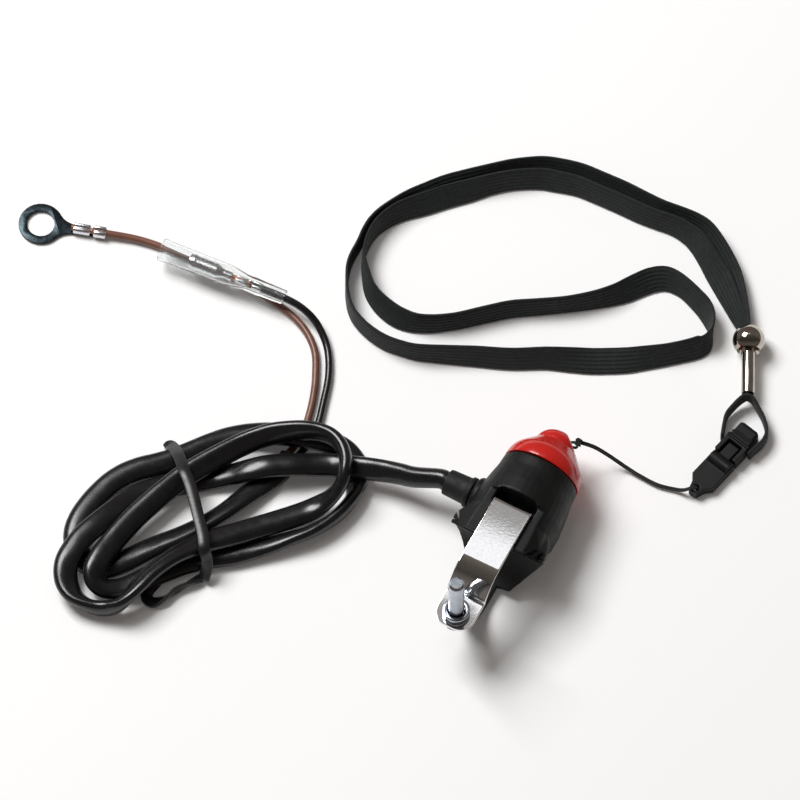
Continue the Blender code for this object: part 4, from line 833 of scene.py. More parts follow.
def make_woven(name, dark, light, rib, pick, depth):
    """Woven tape: ribs along it and picks across it, in the tape's own UV."""
    made, tree, shader = new_material(name, dark, 0.82, {"Sheen Weight": 0.06, "Sheen Roughness": 0.4})
    place = place_parts(tree, "UV")
    waves = []
    for axis, spacing in (("X", pick), ("Y", rib)):
        turns = math_node(tree, "MULTIPLY", place[axis], 2 * math.pi / (spacing * MM))
        waves.append(math_node(tree, "SINE", turns))
    weave = math_node(tree, "MULTIPLY_ADD", waves[0], 0.35, waves[1])
    fibre = math_node(tree, "MULTIPLY_ADD", noise(tree, 2600, 3), 0.8, weave)
    relief(tree, shader, fibre, 0.6, depth * MM)
    two_tones(tree, noise(tree, 500, 3), dark, light, shader.inputs["Base Color"])
    return made


def make_floor_white():
    """White that is lifted a little where it is seen straight, in a mirror or through glass."""
    made, tree, shader = new_material("floor_white", (0.93, 0.93, 0.93), 0.9, {
        "Specular IOR Level": 0.0, "Emission Color": (1, 1, 1, 1)})
    path = tree.nodes.new("ShaderNodeLightPath").outputs
    seen = path["Is Camera Ray"]
    for output in ("Is Glossy Ray", "Is Transmission Ray"):
        seen = math_node(tree, "MAXIMUM", seen, path[output])
    lift = math_node(tree, "MULTIPLY", seen, FLOOR_LIFT)
    tree.links.new(lift, shader.inputs["Emission Strength"])
    return made


MATERIALS = {
    "floor": make_floor_white(),
    "black_plastic": make_finish(
        "moulded_black", (0.007, 0.0075, 0.0075), 0.5,
        (160, 3, (0.0055, 0.006, 0.006), (0.0085, 0.0095, 0.009)), (400, 3, 0.40, 0.54),
        (3600, 2, 0.35, 0.05), Specular_IOR_Level=0.2),
    "red_plastic": make_finish(
        "glossy_red", (0.62, 0.02, 0.014), 0.2, (90, 2, (0.47, 0.011, 0.008), (0.55, 0.016, 0.011)),
        (700, 3, 0.16, 0.26), (320, 2, 0.12, 0.06), Coat_Weight=0.25, Coat_Roughness=0.06),
    "black_rubber": make_finish(
        "soft_rubber", (0.013, 0.013, 0.013), 0.62, (300, 3, (0.006, 0.006, 0.006), (0.010, 0.010, 0.010)),
        (900, 2, 0.55, 0.7), (2600, 2, 0.3, 0.05), Specular_IOR_Level=0.35),
    "clear": make_finish(
        "clear_sleeve", (0.95, 0.97, 0.97), 0.06, None, (500, 2, 0.03, 0.1), (260, 2, 0.15, 0.08),
        Transmission_Weight=0.97, IOR=1.3),
    "black_pvc": make_pvc("pvc_black", (0.006, 0.006, 0.007), (0.009, 0.009, 0.010), 0.24),
    "brown_pvc": make_pvc("pvc_brown", (0.14, 0.055, 0.035), (0.19, 0.08, 0.05), 0.34),
    "tie": make_pvc("tie_black", (0.008, 0.008, 0.009), (0.013, 0.013, 0.014), 0.34),
    "chrome": make_metal("chrome_plate", (0.8, 0.8, 0.81), (0.9, 0.9, 0.9), 0.03, 0.07, 1500, 0.05),
    "zinc": make_metal("zinc_plate", (0.42, 0.46, 0.52), (0.56, 0.6, 0.66), 0.12, 0.22, 900, 0.1),
    "copper": make_metal("copper_strands", (0.66, 0.27, 0.14), (0.82, 0.4, 0.22), 0.25, 0.4, 900, 0.2),
    "nickel": make_metal("nickel_plate", (0.42, 0.39, 0.34), (0.52, 0.49, 0.44), 0.05, 0.1, 300, 0.08),
    "brass": make_metal("brass_strip", (0.68, 0.48, 0.2), (0.78, 0.58, 0.28), 0.25, 0.36, 500, 0.2),
    # Ring terminal tin, with painted shade on its flat and painted highlights on its crimps
    "tinned_dark": make_tin_with_painted_light(),
    "tinned_bright": make_metal("tinned_bright", (0.68, 0.69, 0.7), (0.82, 0.83, 0.84), 0.2, 0.3, 700, 0.2),
    "band": make_woven("woven_band", (0.005, 0.0075, 0.0075), (0.010, 0.014, 0.014), 1.25, 0.7, 0.12),
    "webbing": make_woven("woven_loop", (0.006, 0.007, 0.007), (0.012, 0.014, 0.014), 0.9, 0.6, 0.12),
    "braid": make_woven("braided_cord", (0.007, 0.007, 0.008), (0.014, 0.014, 0.015), 0.35, 0.5, 0.1),
}

# Solids that are shown as they are
NODE_FINISHES = {
    "plunger_bush": "black_plastic", "plunger": "black_plastic", "contact_bridge": "brass",
    "contact_base": "black_plastic", "terminal_left": "brass", "terminal_right": "brass",
    "return_spring": "zinc",
}


def finish_nodes():
    for name, finish in NODE_FINISHES.items():
        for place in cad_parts[name].material_slots:
            place.material = MATERIALS[finish]


# Camera, floor and light

def make_camera():
    data = bpy.data.cameras.new("camera")
    camera = add_object("camera", data)
    middle = PICTURE_SIZE / 2
    target = (
        RIM_CENTRE
        + VIEW_RIGHT * (middle - RIM_CENTRE_PIXEL[0]) / PIXELS_PER_METRE
        + VIEW_UP * (RIM_CENTRE_PIXEL[1] - middle) / PIXELS_PER_METRE
    )
    camera.location = target + VIEW_BACK * CAMERA_DISTANCE
    camera.rotation_euler = (-VIEW_BACK).to_track_quat("-Z", "Y").to_euler()
    data.sensor_width = SENSOR_WIDTH
    data.lens = SENSOR_WIDTH * CAMERA_DISTANCE * PIXELS_PER_METRE / PICTURE_SIZE
    data.clip_end = 10 * CAMERA_DISTANCE
    bpy.context.scene.camera = camera


def make_floor():
    corners = [(-FLOOR_REACH, -FLOOR_REACH, 0), (FLOOR_REACH, -FLOOR_REACH, 0),
               (FLOOR_REACH, FLOOR_REACH, 0), (-FLOOR_REACH, FLOOR_REACH, 0)]
    floor = add_mesh("floor", corners, [(0, 1, 2, 3)], "floor")


def make_softbox(name, direction, distance, size, power):
    data = bpy.data.lights.new(name, "AREA")
    data.shape = "RECTANGLE"
    data.size, data.size_y = size
    data.energy = power
    lamp = add_object(name, data)
    aim = direction.normalized()
    lamp.location = LIGHT_TARGET + aim * distance
    lamp.rotation_euler = (-aim).to_track_quat("-Z", "Y").to_euler()
    return lamp


def make_world():
    """A dim warm room with two cards ahead of the zenith."""
    world = bpy.data.worlds.new("studio")
    bpy.context.scene.world = world
    world.use_nodes = True
    tree = world.node_tree
    nodes, links = tree.nodes, tree.links
    place = nodes.new("ShaderNodeTexCoord").outputs["Generated"]
    leans = []
    for direction in (VIEW_AHEAD, VIEW_RIGHT, UP):
        along = nodes.new("ShaderNodeVectorMath")
        along.operation = "DOT_PRODUCT"
        along.inputs[1].default_value = direction
        links.new(place, along.inputs[0])
        leans.append(along.outputs["Value"])
    height = math_node(tree, "MAXIMUM", leans[2], SKY_LOWEST)
    ahead = math_node(tree, "DIVIDE", leans[0], height)
    sideways = math_node(tree, "ABSOLUTE", math_node(tree, "DIVIDE", leans[1], height))

    ramp = nodes.new("ShaderNodeValToRGB")
    stops = ramp.color_ramp.elements
    for lean, colour in SKY_STOPS[1:-1]:
        stops.new((lean + SKY_REACH) / (2 * SKY_REACH)).color = (*colour, 1)
    stops[0].color = (*SKY_STOPS[0][1], 1)
    stops[-1].color = (*SKY_STOPS[-1][1], 1)
    share = math_node(tree, "DIVIDE", math_node(tree, "ADD", ahead, SKY_REACH), 2 * SKY_REACH)
    links.new(share, ramp.inputs["Fac"])

    def fades_above(value, edge):
        return map_range(tree, value, edge - CARD_EDGE, edge + CARD_EDGE, 1.0, 0.0)

    back = math_node(tree, "MULTIPLY", ahead, -1)
    middle = fades_above(sideways, CARD_HALF_WIDTH)
    seen = ramp.outputs["Color"]
    for far, near, colour in CARDS:
        inside = math_node(tree, "MULTIPLY", fades_above(ahead, far), fades_above(back, -near))
        mix = nodes.new("ShaderNodeMix")
        mix.data_type = "RGBA"
        links.new(math_node(tree, "MULTIPLY", inside, middle), mix.inputs["Factor"])
        links.new(seen, mix.inputs[MIX_FIRST])
        mix.inputs[MIX_SECOND].default_value = (*colour, 1)
        seen = mix.outputs[MIX_RESULT]
    links.new(seen, nodes["Background"].inputs["Color"])
    nodes["Background"].inputs["Strength"].default_value = 1.0


def make_light():
    make_softbox("key_light", KEY_DIRECTION, KEY_DISTANCE, KEY_SIZE, KEY_POWER)
    top = make_softbox("top_light", TOP_DIRECTION, TOP_DISTANCE, TOP_SIZE, TOP_POWER)
    top.visible_glossy = False
    make_world()
    bpy.context.scene.view_settings.view_transform = "Standard"


# Switch

def make_housing_and_liner():
    housing = moulded("housing_shell", [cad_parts["housing"]], HOUSING_VOXEL, 4, "black_plastic")
    for index, (first, last, width, low) in enumerate(WING_SLOTS):
        run = Vector((last[0] - first[0], last[1] - first[1]))
        shares = [step / WING_SLOT_STEPS for step in range(WING_SLOT_STEPS + 1)]
        upper = [(run.length * MM * share, width / 2 * MM * math.sin(math.pi * share)) for share in shares]
        lens = upper + [(along, -across) for along, across in reversed(upper[1:-1])]
        start = in_switch(first[0] * MM, first[1] * MM, 0)
        angle = math.degrees(math.atan2(run.y, run.x))
        cut(housing, slab(f"wing_slot_{index}", start, angle, lens, low * MM, WING_SLOT_TOP))
    stands_for(housing, "root", "black_plastic", "housing")
    liner = moulded("liner_strip", [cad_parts["clamp_liner"]], LINER_VOXEL, 3, "black_rubber")
    stands_for(liner, "root", "black_rubber", "clamp_liner")


def make_cap():
    """A dome that runs into a nose with two flat sides, over the bore for the spigot."""
    dome = []
    for step in range(DOME_STEPS + 1):
        angle = DOME_END * step / DOME_STEPS
        radius = RIM_RADIUS - DOME_RADIUS * (1 - math.cos(angle))
        dome.append((radius, DOME_START + DOME_RADIUS * math.sin(angle)))
    nose_foot = dome[-1][1] + (dome[-1][0] - NOSE_RADIUS) / math.tan(DOME_END)
    crease = rounded([dome[-1], (NOSE_RADIUS, nose_foot), (NOSE_RADIUS, CAP_HEIGHT - NOSE_ROUNDING)],
                     CREASE_ROUNDING, steps=8)
    nose = []
    for step in range(1, NOSE_STEPS):
        angle = math.pi / 2 * step / NOSE_STEPS
        nose.append((NOSE_RADIUS * math.cos(angle), CAP_HEIGHT - NOSE_ROUNDING * (1 - math.sin(angle))))
    nose.append((0, CAP_HEIGHT))
    inside = rounded([
        (0, CAP_ROOF), (CAP_ROOF_RADIUS, CAP_ROOF), (CAP_BORE_RADIUS, CAP_BORE_DEPTH),
        (CAP_BORE_RADIUS, GAP), (RIM_RADIUS, GAP), (RIM_RADIUS, DOME_START),
    ], CAP_LIP_ROUNDING)
    slope = (NOSE_RADIUS - NOSE_TIP_HALF_WIDTH) / (CAP_HEIGHT - nose_foot)
    turn = Matrix.Rotation(NOSE_TURN, 2)

    def flat_sides(across, up, distance):
        if distance < nose_foot:
            return across, up
        limit = NOSE_RADIUS - slope * (distance - nose_foot)
        moved = turn @ Vector((across, up))
        size = abs(moved.x)
        near = max(NOSE_EDGE_SOFTNESS - abs(size - limit), 0) / NOSE_EDGE_SOFTNESS
        moved.x = math.copysign(min(size, limit) - near * near * NOSE_EDGE_SOFTNESS / 4, moved.x)
        return turn.inverted() @ moved

    profile = inside + dome[1:-1] + crease + nose
    cap = turned("cap_shell", in_switch(0, 0, 0), (0, 1, 0), profile, "red_plastic", 144, flat_sides)
    start = in_switch(-RIM_RADIUS, CAP_HEIGHT - CORD_HOLE_BELOW_TIP, 0)
    hole = rod("cap_hole", start, (1, 0, 0), CORD_HOLE_RADIUS, 2 * RIM_RADIUS)
    stands_for(cut(cap, hole), "cap", "red_plastic", "cap")


def strap_stations():
    """Middle line of the strap from its foot in the pocket to the end of its ear."""
    line = []

    def curve(centre, radius, start, end, steps):
        for step in range(steps + 1):
            angle = math.radians(start + (end - start) * step / steps)
            line.append((centre[0] + radius * math.cos(angle), centre[1] + radius * math.sin(angle)))

    bend_y = STRAP_HOOK_Y - STRAP_BEND
    flat = bend_y - BAR_Y
    crown = flat * STRAP_CROWN / 2
    wrap_end = math.degrees(STRAP_WRAP_END)
    line.append((STRAP_HOOK_Y - STRAP_FOOT_LENGTH, STRAP_FOOT_Z))
    curve((bend_y, STRAP_FOOT_Z + STRAP_BEND), STRAP_BEND, -90, 0, 12)
    curve((bend_y, STRAP_RADIUS + crown - STRAP_BEND), STRAP_BEND, 0, 90, 16)
    for step in range(1, STRAP_FLAT_STEPS):
        along = step / STRAP_FLAT_STEPS
        line.append((bend_y - flat * along, STRAP_RADIUS + crown * (1 - along * along)))
    curve((BAR_Y, 0), STRAP_RADIUS, 90 + math.degrees(STRAP_CROWN), 180 - wrap_end, 40)
    turn = math.pi / 2 - STRAP_WRAP_END
    ear_z = STRAP_RADIUS * math.sin(STRAP_WRAP_END) - STRAP_FOLD_RADIUS * (1 - math.cos(turn))
    fold_y = BAR_Y - STRAP_RADIUS * math.cos(STRAP_WRAP_END) - STRAP_FOLD_RADIUS * math.sin(turn)
    curve((fold_y, ear_z + STRAP_FOLD_RADIUS), STRAP_FOLD_RADIUS, -wrap_end, -90, 12)
    ear_straight = STRAP_EAR_END + STRAP_EAR_ROUNDING
    for step in range(1, STRAP_EAR_STEPS):
        reach = STRAP_EAR_ROUNDING * math.sin(math.pi / 2 * step / STRAP_EAR_STEPS)
        line.append((ear_straight - reach, ear_z))
    line.append((STRAP_EAR_END, ear_z))
    stations = []
    for index, (y, z) in enumerate(line):
        before, after = line[max(index - 1, 0)], line[min(index + 1, len(line) - 1)]
        along = Vector((0, after[0] - before[0], after[1] - before[1])).normalized()
        half = STRAP_WIDTH / 2
        reach = max(0.0, min(1.0, (ear_straight - y) / STRAP_EAR_ROUNDING))
        narrowed = half - STRAP_EAR_ROUNDING * (1 - math.sqrt(1 - reach * reach))
        wide = Vector((narrowed / half, 0, 0))
        stations.append((in_switch(0, y, z), wide, Vector((0, -along.z, along.y))))
    return stations, ear_z


def strap_section():
    """The strap's section, with points beside its rounded corners so that its faces shade flat."""
    half = STRAP_WIDTH / 2
    deep = STRAP_THICKNESS / 2
    corners = rounded([(-half, -deep), (half, -deep), (half, deep), (-half, deep)],
                      STRAP_EDGE_ROUNDING, closed=True)[:-1]
    section = []
    for index, (across, depth) in enumerate(corners):
        section.append((across, depth))
        after = corners[(index + 1) % len(corners)][0]
        if abs(after - across) > half:
            inward = math.copysign(STRAP_EDGE_MARGIN, after - across)
            section += [(across + inward, depth), (after - inward, depth)]
    return section


def make_strap():
    stations, ear_z = strap_stations()
    strap = closed_mesh(sweep("strap", stations, strap_section(), "chrome"))
    hole = rod("strap_hole", in_switch(0, SCREW_Y, ear_z - 2 * MM), UP, SCREW_HOLE_RADIUS, 4 * MM)
    stands_for(cut(strap, hole), "root", "chrome", "clamp_strap")


def make_screw():
    head_radius = (SCREW_HIGH.x - SCREW_LOW.x) / 2
    length = SCREW_HIGH.z - SCREW_LOW.z
    head = [
        (0, 0), (head_radius - SCREW_HEAD_CHAMFER, 0), (head_radius, SCREW_HEAD_CHAMFER),
        (head_radius, SCREW_HEAD_HEIGHT), (SCREW_RADIUS, SCREW_HEAD_HEIGHT),
    ]
    shank = []
    for row in range(1, SCREW_ROWS):
        height = SCREW_HEAD_HEIGHT + (length - SCREW_HEAD_HEIGHT) * row / SCREW_ROWS
        shank.append((min(SCREW_RADIUS, SCREW_RADIUS - SCREW_CHAMFER + length - height), height))
    tip = [(SCREW_RADIUS - SCREW_CHAMFER, length), (0, length)]

    def thread(first, second, height):
        if height < SCREW_HEAD_HEIGHT + THREAD_PITCH or height >= length:
            return first, second
        turn = (height / THREAD_PITCH - math.atan2(second, first) / (2 * math.pi)) % 1.0
        shrink = 1 - THREAD_DEPTH / SCREW_RADIUS * abs(2 * turn - 1)
        return first * shrink, second * shrink

    start = Vector((0, RIM_Y + SCREW_Y, SCREW_LOW.z))
    screw = turned("screw", start, UP, head + shank + tip, "zinc", 56, thread)
    reach, half = 2 * head_radius, SCREW_SLOT_WIDTH / 2
    outline = [(-reach, -half), (reach, -half), (reach, half), (-reach, half)]
    slot = slab("screw_slot", start, 0, outline, -MM, SCREW_SLOT_DEPTH)
    stands_for(cut(screw, slot), "root", "zinc", "clamp_screw")


def make_nut():
    radius = (NUT_HIGH.x - NUT_LOW.x) / 2
    height = NUT_HIGH.z - NUT_LOW.z
    ring = rounded([(NUT_BORE_RADIUS, 0), (radius, 0), (radius, height), (NUT_BORE_RADIUS, height)],
                   NUT_ROUNDING, closed=True)
    nut = turned("nut", Vector((0, RIM_Y + SCREW_Y, NUT_LOW.z)), UP, ring, "zinc", 72)
    stands_for(nut, "root", "zinc", "clamp_nut")


def make_gland():
    start = Vector((GLAND_HIGH.x, LEAD_EXIT.y, LEAD_EXIT.z))
    length = GLAND_HIGH.x - GLAND_LOW.x
    profile = rounded([
        (GLAND_BORE_RADIUS, 0), (GLAND_FLANGE_RADIUS, 0), (GLAND_FLANGE_RADIUS, GLAND_FLANGE_THICKNESS),
        (GLAND_RADIUS, GLAND_FLANGE_THICKNESS + GLAND_SHOULDER),
        (GLAND_RADIUS - GLAND_TAPER, length - GLAND_LIP_START),
        (GLAND_RADIUS - GLAND_SHOULDER, length), (GLAND_BORE_RADIUS, length),
    ], GLAND_ROUNDING, closed=True)
    gland = turned("gland", start, (-1, 0, 0), profile, "black_rubber", 72)
    stands_for(gland, "root", "black_rubber", "cable_gland")


def dress_switch():
    make_housing_and_liner()
    make_cap()
    make_strap()
    make_screw()
    make_nut()
    make_gland()


# Lead, tie and wires

def make_lead():
    leaving = [LEAD_EXIT + Vector((LEAD_IN_GLAND, 0, 0)), LEAD_EXIT, LEAD_EXIT + LEAD_CLEAR]
    route = [Vector((*spot, LEAVING_ROLL)) for spot in leaving] + picture_route(LEAD_ROUTE)
    stations = above_floor(leaning_stations(route, 7), SHEATH_WIDTH, SHEATH_THICKNESS, SHEATH_SQUARENESS)
    rounder = []
    for walked, (spot, wide, deep) in zip(distances(places(stations)), stations):
        share = eased(1 - walked / LEAVING_LENGTH)
        rounder.append((spot, wide * (1 + share * (LEAVING_DIAMETER / SHEATH_WIDTH - 1)),
                        deep * (1 + share * (LEAVING_DIAMETER / SHEATH_THICKNESS - 1))))
    section = oval(SHEATH_WIDTH, SHEATH_THICKNESS, 24, SHEATH_SQUARENESS)
    lead = sweep("lead", rounder, section, "black_pvc")
    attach(lead, "root")
    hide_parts("cable", "cable_coil")
    return lead, places(rounder)


def tie_section():
    """A flat strip with ribs along its outer face."""
    half = TIE_WIDTH / 2
    deep = TIE_THICKNESS / 2
    section = [(half * 0.9, -deep), (half, -deep * 0.6)]
    for step in range(TIE_STEPS + 1):
        rise = TIE_RIB_HEIGHT * (1 - math.cos(2 * math.pi * TIE_RIBS * step / TIE_STEPS)) / 2
        section.append((half - TIE_WIDTH * step / TIE_STEPS, deep * 0.7 + rise))
    return section + [(-half, -deep * 0.6), (-half * 0.9, -deep)]


def make_tie():
    pieces = []
    for name, route in (("tie_front", TIE_FRONT_ROUTE), ("tie_tail", TIE_TAIL_ROUTE)):
        stations = leaning_stations(picture_route(route), 8)
        stations = above_floor(stations, TIE_WIDTH, TIE_HEIGHT, TIE_SQUARENESS)
        rippled = [(spot, wide, deep * (1 + TIE_RIPPLE if index % 2 else 1 - TIE_RIPPLE))
                   for index, (spot, wide, deep) in enumerate(stations)]
        piece = sweep(name, rippled, tie_section(), "tie")
        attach(piece, "root")
        pieces.append(piece)
    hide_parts("cable_tie")
    return pieces


def make_wire(name, route, slot, node):
    """A core of the lead, whose finish has the name of its slot."""
    path = smooth_through(in_metres(route), 8)
    section = oval(2 * WIRE_RADIUS, 2 * WIRE_RADIUS, 16)
    wire = sweep(name, carried_stations(path, UP), section, slot)
    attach(wire, "root")
    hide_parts(node)
    return wire, path


def crimp(name, start, aim, low, high, radius, finish):
    """A barrel crimped from above: two lobes that meet in a fold along its top."""
    section = []
    for step in range(CRIMP_STEPS):
        angle = 2 * math.pi * step / CRIMP_STEPS
        from_top = math.atan2(math.sin(angle - math.pi / 2), math.cos(angle - math.pi / 2))
        size = radius * (1 - CRIMP_FOLD_DEPTH * math.exp(-(from_top / CRIMP_FOLD_WIDTH) ** 2))
        section.append((size * math.cos(angle), size * math.sin(angle)))
    stations = []
    for distance, size in (
        (low, CRIMP_END), (low + CRIMP_EDGE / 2, CRIMP_SHOULDER), (low + CRIMP_EDGE, 1),
        (high - CRIMP_EDGE, 1), (high - CRIMP_EDGE / 2, CRIMP_SHOULDER), (high, CRIMP_END),
    ):
        stations.append((start + aim * distance, UP.cross(aim) * size, UP * size))
    return closed_mesh(sweep(name, stations, section, finish))


def crimps(sizes, start, aim, finish):
    made = []
    for name, low, high, radius in sizes:
        made.append(crimp(name, start, aim, low * MM, high * MM, radius * MM, finish))
    return made


def make_strands(name, start, aim, ends):
    """Bare copper strands where a core enters its crimp."""
    def lobes(first, second, distance):
        turn = COPPER_STRANDS * math.atan2(second, first) + COPPER_LAY * distance
        bulge = 1 + COPPER_BULGE * math.cos(turn)
        return first * bulge, second * bulge

    low, high = (end * MM for end in ends)
    profile = [(0, low)]
    for step in range(COPPER_STEPS + 1):
        profile.append((COPPER_RADIUS, low + (high - low) * step / COPPER_STEPS))
    profile.append((0, high))
    strands = turned(name, start, aim, profile, "copper", 48, lobes)
    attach(strands, "root")
    return strands


def make_connector():
    """A clear sleeve over a female bullet that is crimped on the black core."""
    aim = heading(CONNECTOR_HEADING)
    shape = rounded([(radius * MM, distance * MM) for radius, distance in SLEEVE_SECTION],
                    SLEEVE_ROUNDING, closed=True, steps=6)
    sleeve = turned("sleeve", CONNECTOR_START, aim, shape, "clear", 72)
    stands_for(sleeve, "root", "clear_pvc", "connector_sleeve")
    shape = rounded([(radius * MM, distance * MM) for radius, distance in RECEPTACLE_SECTION],
                    RECEPTACLE_ROUNDING, closed=True)
    shell = turned("receptacle", CONNECTOR_START, aim, shape, "tinned_bright", 64)
    strip = bar("receptacle_strip", CONNECTOR_START, CONNECTOR_HEADING, CONNECTOR_STRIP, "tinned_bright")
    receptacle = fused([shell, strip] + crimps(CONNECTOR_CRIMPS, CONNECTOR_START, aim, "tinned_bright"))
    stands_for(receptacle, "root", "tinned_bright", "bullet_receptacle")
    return [sleeve, receptacle, make_strands("bullet_strands", CONNECTOR_START, aim, CONNECTOR_STRANDS)]


def make_ring_terminal():
    """A flat ring that runs into its neck, with a strip and two crimps for the brown core."""
    outline = []
    for step in range(RING_STEPS + 1):
        angle = math.radians(NECK_ANGLE + (360 - 2 * NECK_ANGLE) * step / RING_STEPS)
        outline.append((RING_RADIUS * math.cos(angle), RING_RADIUS * math.sin(angle)))
    leave_x, leave_y = outline[-1]
    reach = (NECK_HALF_WIDTH + leave_y) / math.cos(math.radians(NECK_ANGLE))
    bend = (leave_x - reach * math.sin(math.radians(NECK_ANGLE)), -NECK_HALF_WIDTH)
    neck = []
    for step in range(1, NECK_STEPS + 1):
        t = step / NECK_STEPS
        neck.append(tuple(
            first * (1 - t) ** 2 + middle * 2 * t * (1 - t) + last * t ** 2
            for first, middle, last in zip(outline[-1], bend, (NECK_END, -NECK_HALF_WIDTH))))
    outline += neck + [(along, -across) for along, across in reversed(neck)]
    # The ring's tin has painted shade on its flat and painted highlights on its crimps
    plate = slab("ring", RING_CENTRE, RING_HEADING, outline, RING_LOW, RING_HIGH, "tinned_dark")
    hole = rod("ring_hole", RING_CENTRE - UP * MM, UP, RING_HOLE_RADIUS, 4 * MM, 72)
    plate = softened(cut(plate, hole), RING_EDGE_ROUNDING)
    strip = bar("ring_strip", RING_CENTRE, RING_HEADING, RING_STRIP, "tinned_dark")
    centre = RING_CENTRE + UP * CRIMP_CENTRE_Z
    aim = heading(RING_HEADING)
    ring = fused([plate, strip] + crimps(RING_CRIMPS, centre, aim, "tinned_dark"))
    stands_for(ring, "root", "tinned_dark", "ring_terminal")
    return [ring, make_strands("ring_strands", centre, aim, RING_STRANDS)]


def dress_lead():
    lead, lead_path = make_lead()
    ties = make_tie()
    black, black_path = make_wire("lead_core_black", BLACK_WIRE_ROUTE, "black_pvc", "wire_black")
    brown, brown_path = make_wire("lead_core_brown", BROWN_WIRE_ROUTE, "brown_pvc", "wire_brown")
    make_connector()
    make_ring_terminal()


# Lanyard

def make_double_cord():
    """Two thin cords side by side as one piece."""
    path = smooth_through(in_metres(CORD_ROUTE), 10)
    thickness = 2 * STRAND_OFFSET * STRAND_OVERLAP
    strands = []
    for side in (-1, 1):
        moved = [(spot + wide * STRAND_OFFSET * side, wide, deep)
                 for spot, wide, deep in carried_stations(path, (0, 1, 0))]
        strands.append(sweep(f"double_cord_{len(strands)}", moved, oval(thickness, thickness, 12), "braid"))
    cord = strands[0]
    with bpy.context.temp_override(active_object=cord, selected_editable_objects=strands):
        bpy.ops.object.join()
    cord.name = "double_cord"
    return cord, path


def thin_cord(name, path, first_wide):
    section = oval(2 * THIN_CORD_RADIUS, 2 * THIN_CORD_RADIUS, 12)
    return sweep(name, carried_stations(path, first_wide), section, "braid")


def make_knot():
    """A small overhand knot where the loop's ends become the double cord."""
    path = []
    for step in range(KNOT_STEPS + 1):
        angle = KNOT_OPEN_ANGLE + 2 * (math.pi - KNOT_OPEN_ANGLE) * step / KNOT_STEPS
        size = KNOT_SIZE * (2 + math.cos(3 * angle))
        rise = KNOT_RISE * KNOT_SIZE * math.sin(3 * angle)
        path.append(KNOT_CENTRE + Vector((size * math.cos(2 * angle), size * math.sin(2 * angle), rise)))
    return stands_for(closed_mesh(thin_cord("cord_knot", path, UP)), "cap", "black_webbing", "lanyard_knot")


def make_clip():
    """A small side clip: a plug with a raised tongue in a socket with a ribbed collar."""
    tongue = bar("plug_tongue", CLIP_START, CLIP_HEADING, PLUG_TONGUE)
    plug = moulded("clip_plug_body", [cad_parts["clip_plug"], tongue], CLIP_VOXEL, 2, "black_plastic")
    pieces = [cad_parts["clip_socket"]]
    for index, size in enumerate(SOCKET_BARS):
        pieces.append(bar(f"socket_bar_{index}", CLIP_START, CLIP_HEADING, size))
    socket = moulded("clip_socket_body", pieces, CLIP_VOXEL, 2, "black_plastic")
    stands_for(socket, "lanyard", "black_plastic", "clip_socket")
    return stands_for(plug, "cap", "black_plastic", "clip_plug")


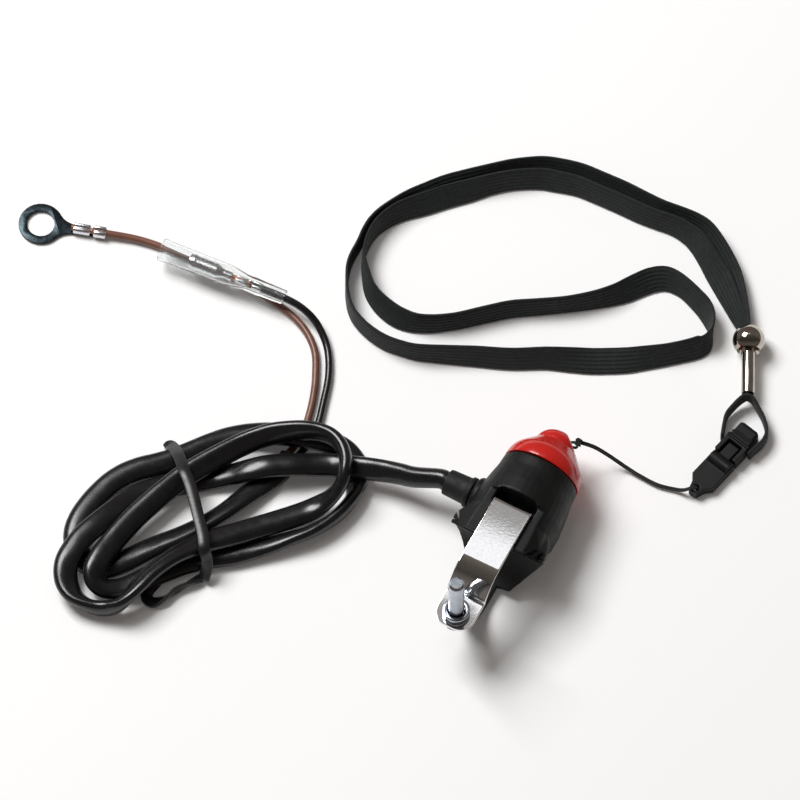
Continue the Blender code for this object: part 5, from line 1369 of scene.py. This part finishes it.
def make_ferrule_and_bead():
    aim = heading(FERRULE_HEADING)
    wall = rounded([(FERRULE_BORE_RADIUS, 0), (FERRULE_RADIUS, 0), (FERRULE_RADIUS, FERRULE_LENGTH),
                    (FERRULE_BORE_RADIUS, FERRULE_LENGTH)], FERRULE_ROUNDING, closed=True)
    ferrule = turned("ferrule_tube", FERRULE_START, aim, wall, "nickel", 72)
    stands_for(ferrule, "lanyard", "nickel", "ferrule")
    mouth = math.acos(BEAD_MOUTH_RADIUS / BEAD_RADIUS)
    top = math.acos(BEAD_BORE_RADIUS / BEAD_RADIUS)
    profile = []
    for step in range(BEAD_STEPS + 1):
        angle = -mouth + (top + mouth) * step / BEAD_STEPS
        profile.append((BEAD_RADIUS * math.cos(angle), BEAD_RADIUS * math.sin(angle)))
    profile += [
        (BEAD_BORE_RADIUS - BEAD_BORE_TAPER, BEAD_RADIUS * math.sin(top) - BEAD_LIP),
        (BEAD_BORE_RADIUS, BEAD_BORE_START),
        (BEAD_MOUTH_RADIUS - BEAD_LIP, -BEAD_RADIUS * math.sin(mouth) + BEAD_LIP),
        profile[0],
    ]
    bead = turned("ball", FERRULE_START + aim * BEAD_PLACE, aim, profile, "nickel", 96)
    stands_for(bead, "bead", "nickel", "bead")


def make_webbing():
    webbing_path = smooth_through(in_metres(WEBBING_ROUTE), 8)
    upright = [Vector((*spot, math.pi / 2)) for spot in in_metres(WEBBING_ROUTE)]
    section = oval(WEBBING_WIDTH, WEBBING_THICKNESS, 20, 5.0)
    webbing = sweep("short_webbing", leaning_stations(upright, 8), section, "webbing")
    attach(webbing, "lanyard")
    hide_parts("webbing_loop")


def pinched_ends(stations):
    """Draws both ends of the band through the ball and into the ferrule, one over the other."""
    hold = FERRULE_START + heading(FERRULE_HEADING) * (FERRULE_LENGTH - BAND_IN_FERRULE)
    walked = distances(places(stations))
    pinched = []
    for index, (spot, wide, deep) in enumerate(stations):
        share = eased(1 - min(walked[index], walked[-1] - walked[index]) / BAND_PINCH)
        layer = UP * BAND_LAYER * (1 if index > len(stations) / 2 else -1)
        narrow = 1 - (1 - BAND_PINCHED) * min(1.0, BAND_PINCH_LEAD * share)
        pinched.append((spot.lerp(hold + layer, share), wide * narrow, deep))
    return pinched


def make_neck_band():
    route = [Vector((*from_picture(across, down, BAND_FLOOR), math.radians(lean)))
             for across, down, lean in BAND_ROUTE]
    stations = pinched_ends([(foot + wide * BAND_WIDTH / 2, wide, deep)
                             for foot, wide, deep in leaning_stations(route, 5)])
    band = sweep("elastic_band", stations, oval(BAND_WIDTH, BAND_THICKNESS, 20, 6.0), "band")
    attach(band, "lanyard")
    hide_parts("neck_band")


def dress_lanyard():
    loop = thin_cord("cap_cord_loop", smooth_through(in_metres(LOOP_ROUTE), 10), (0, 1, 0))
    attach(loop, "cap")
    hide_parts("lanyard_loop")
    cord, cord_path = make_double_cord()
    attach(cord, "cap")
    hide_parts("lanyard_cord")
    make_knot()
    make_clip()
    make_ferrule_and_bead()
    make_webbing()
    make_neck_band()


make_camera()
make_floor()
make_light()
finish_nodes()
dress_switch()
dress_lead()
dress_lanyard()
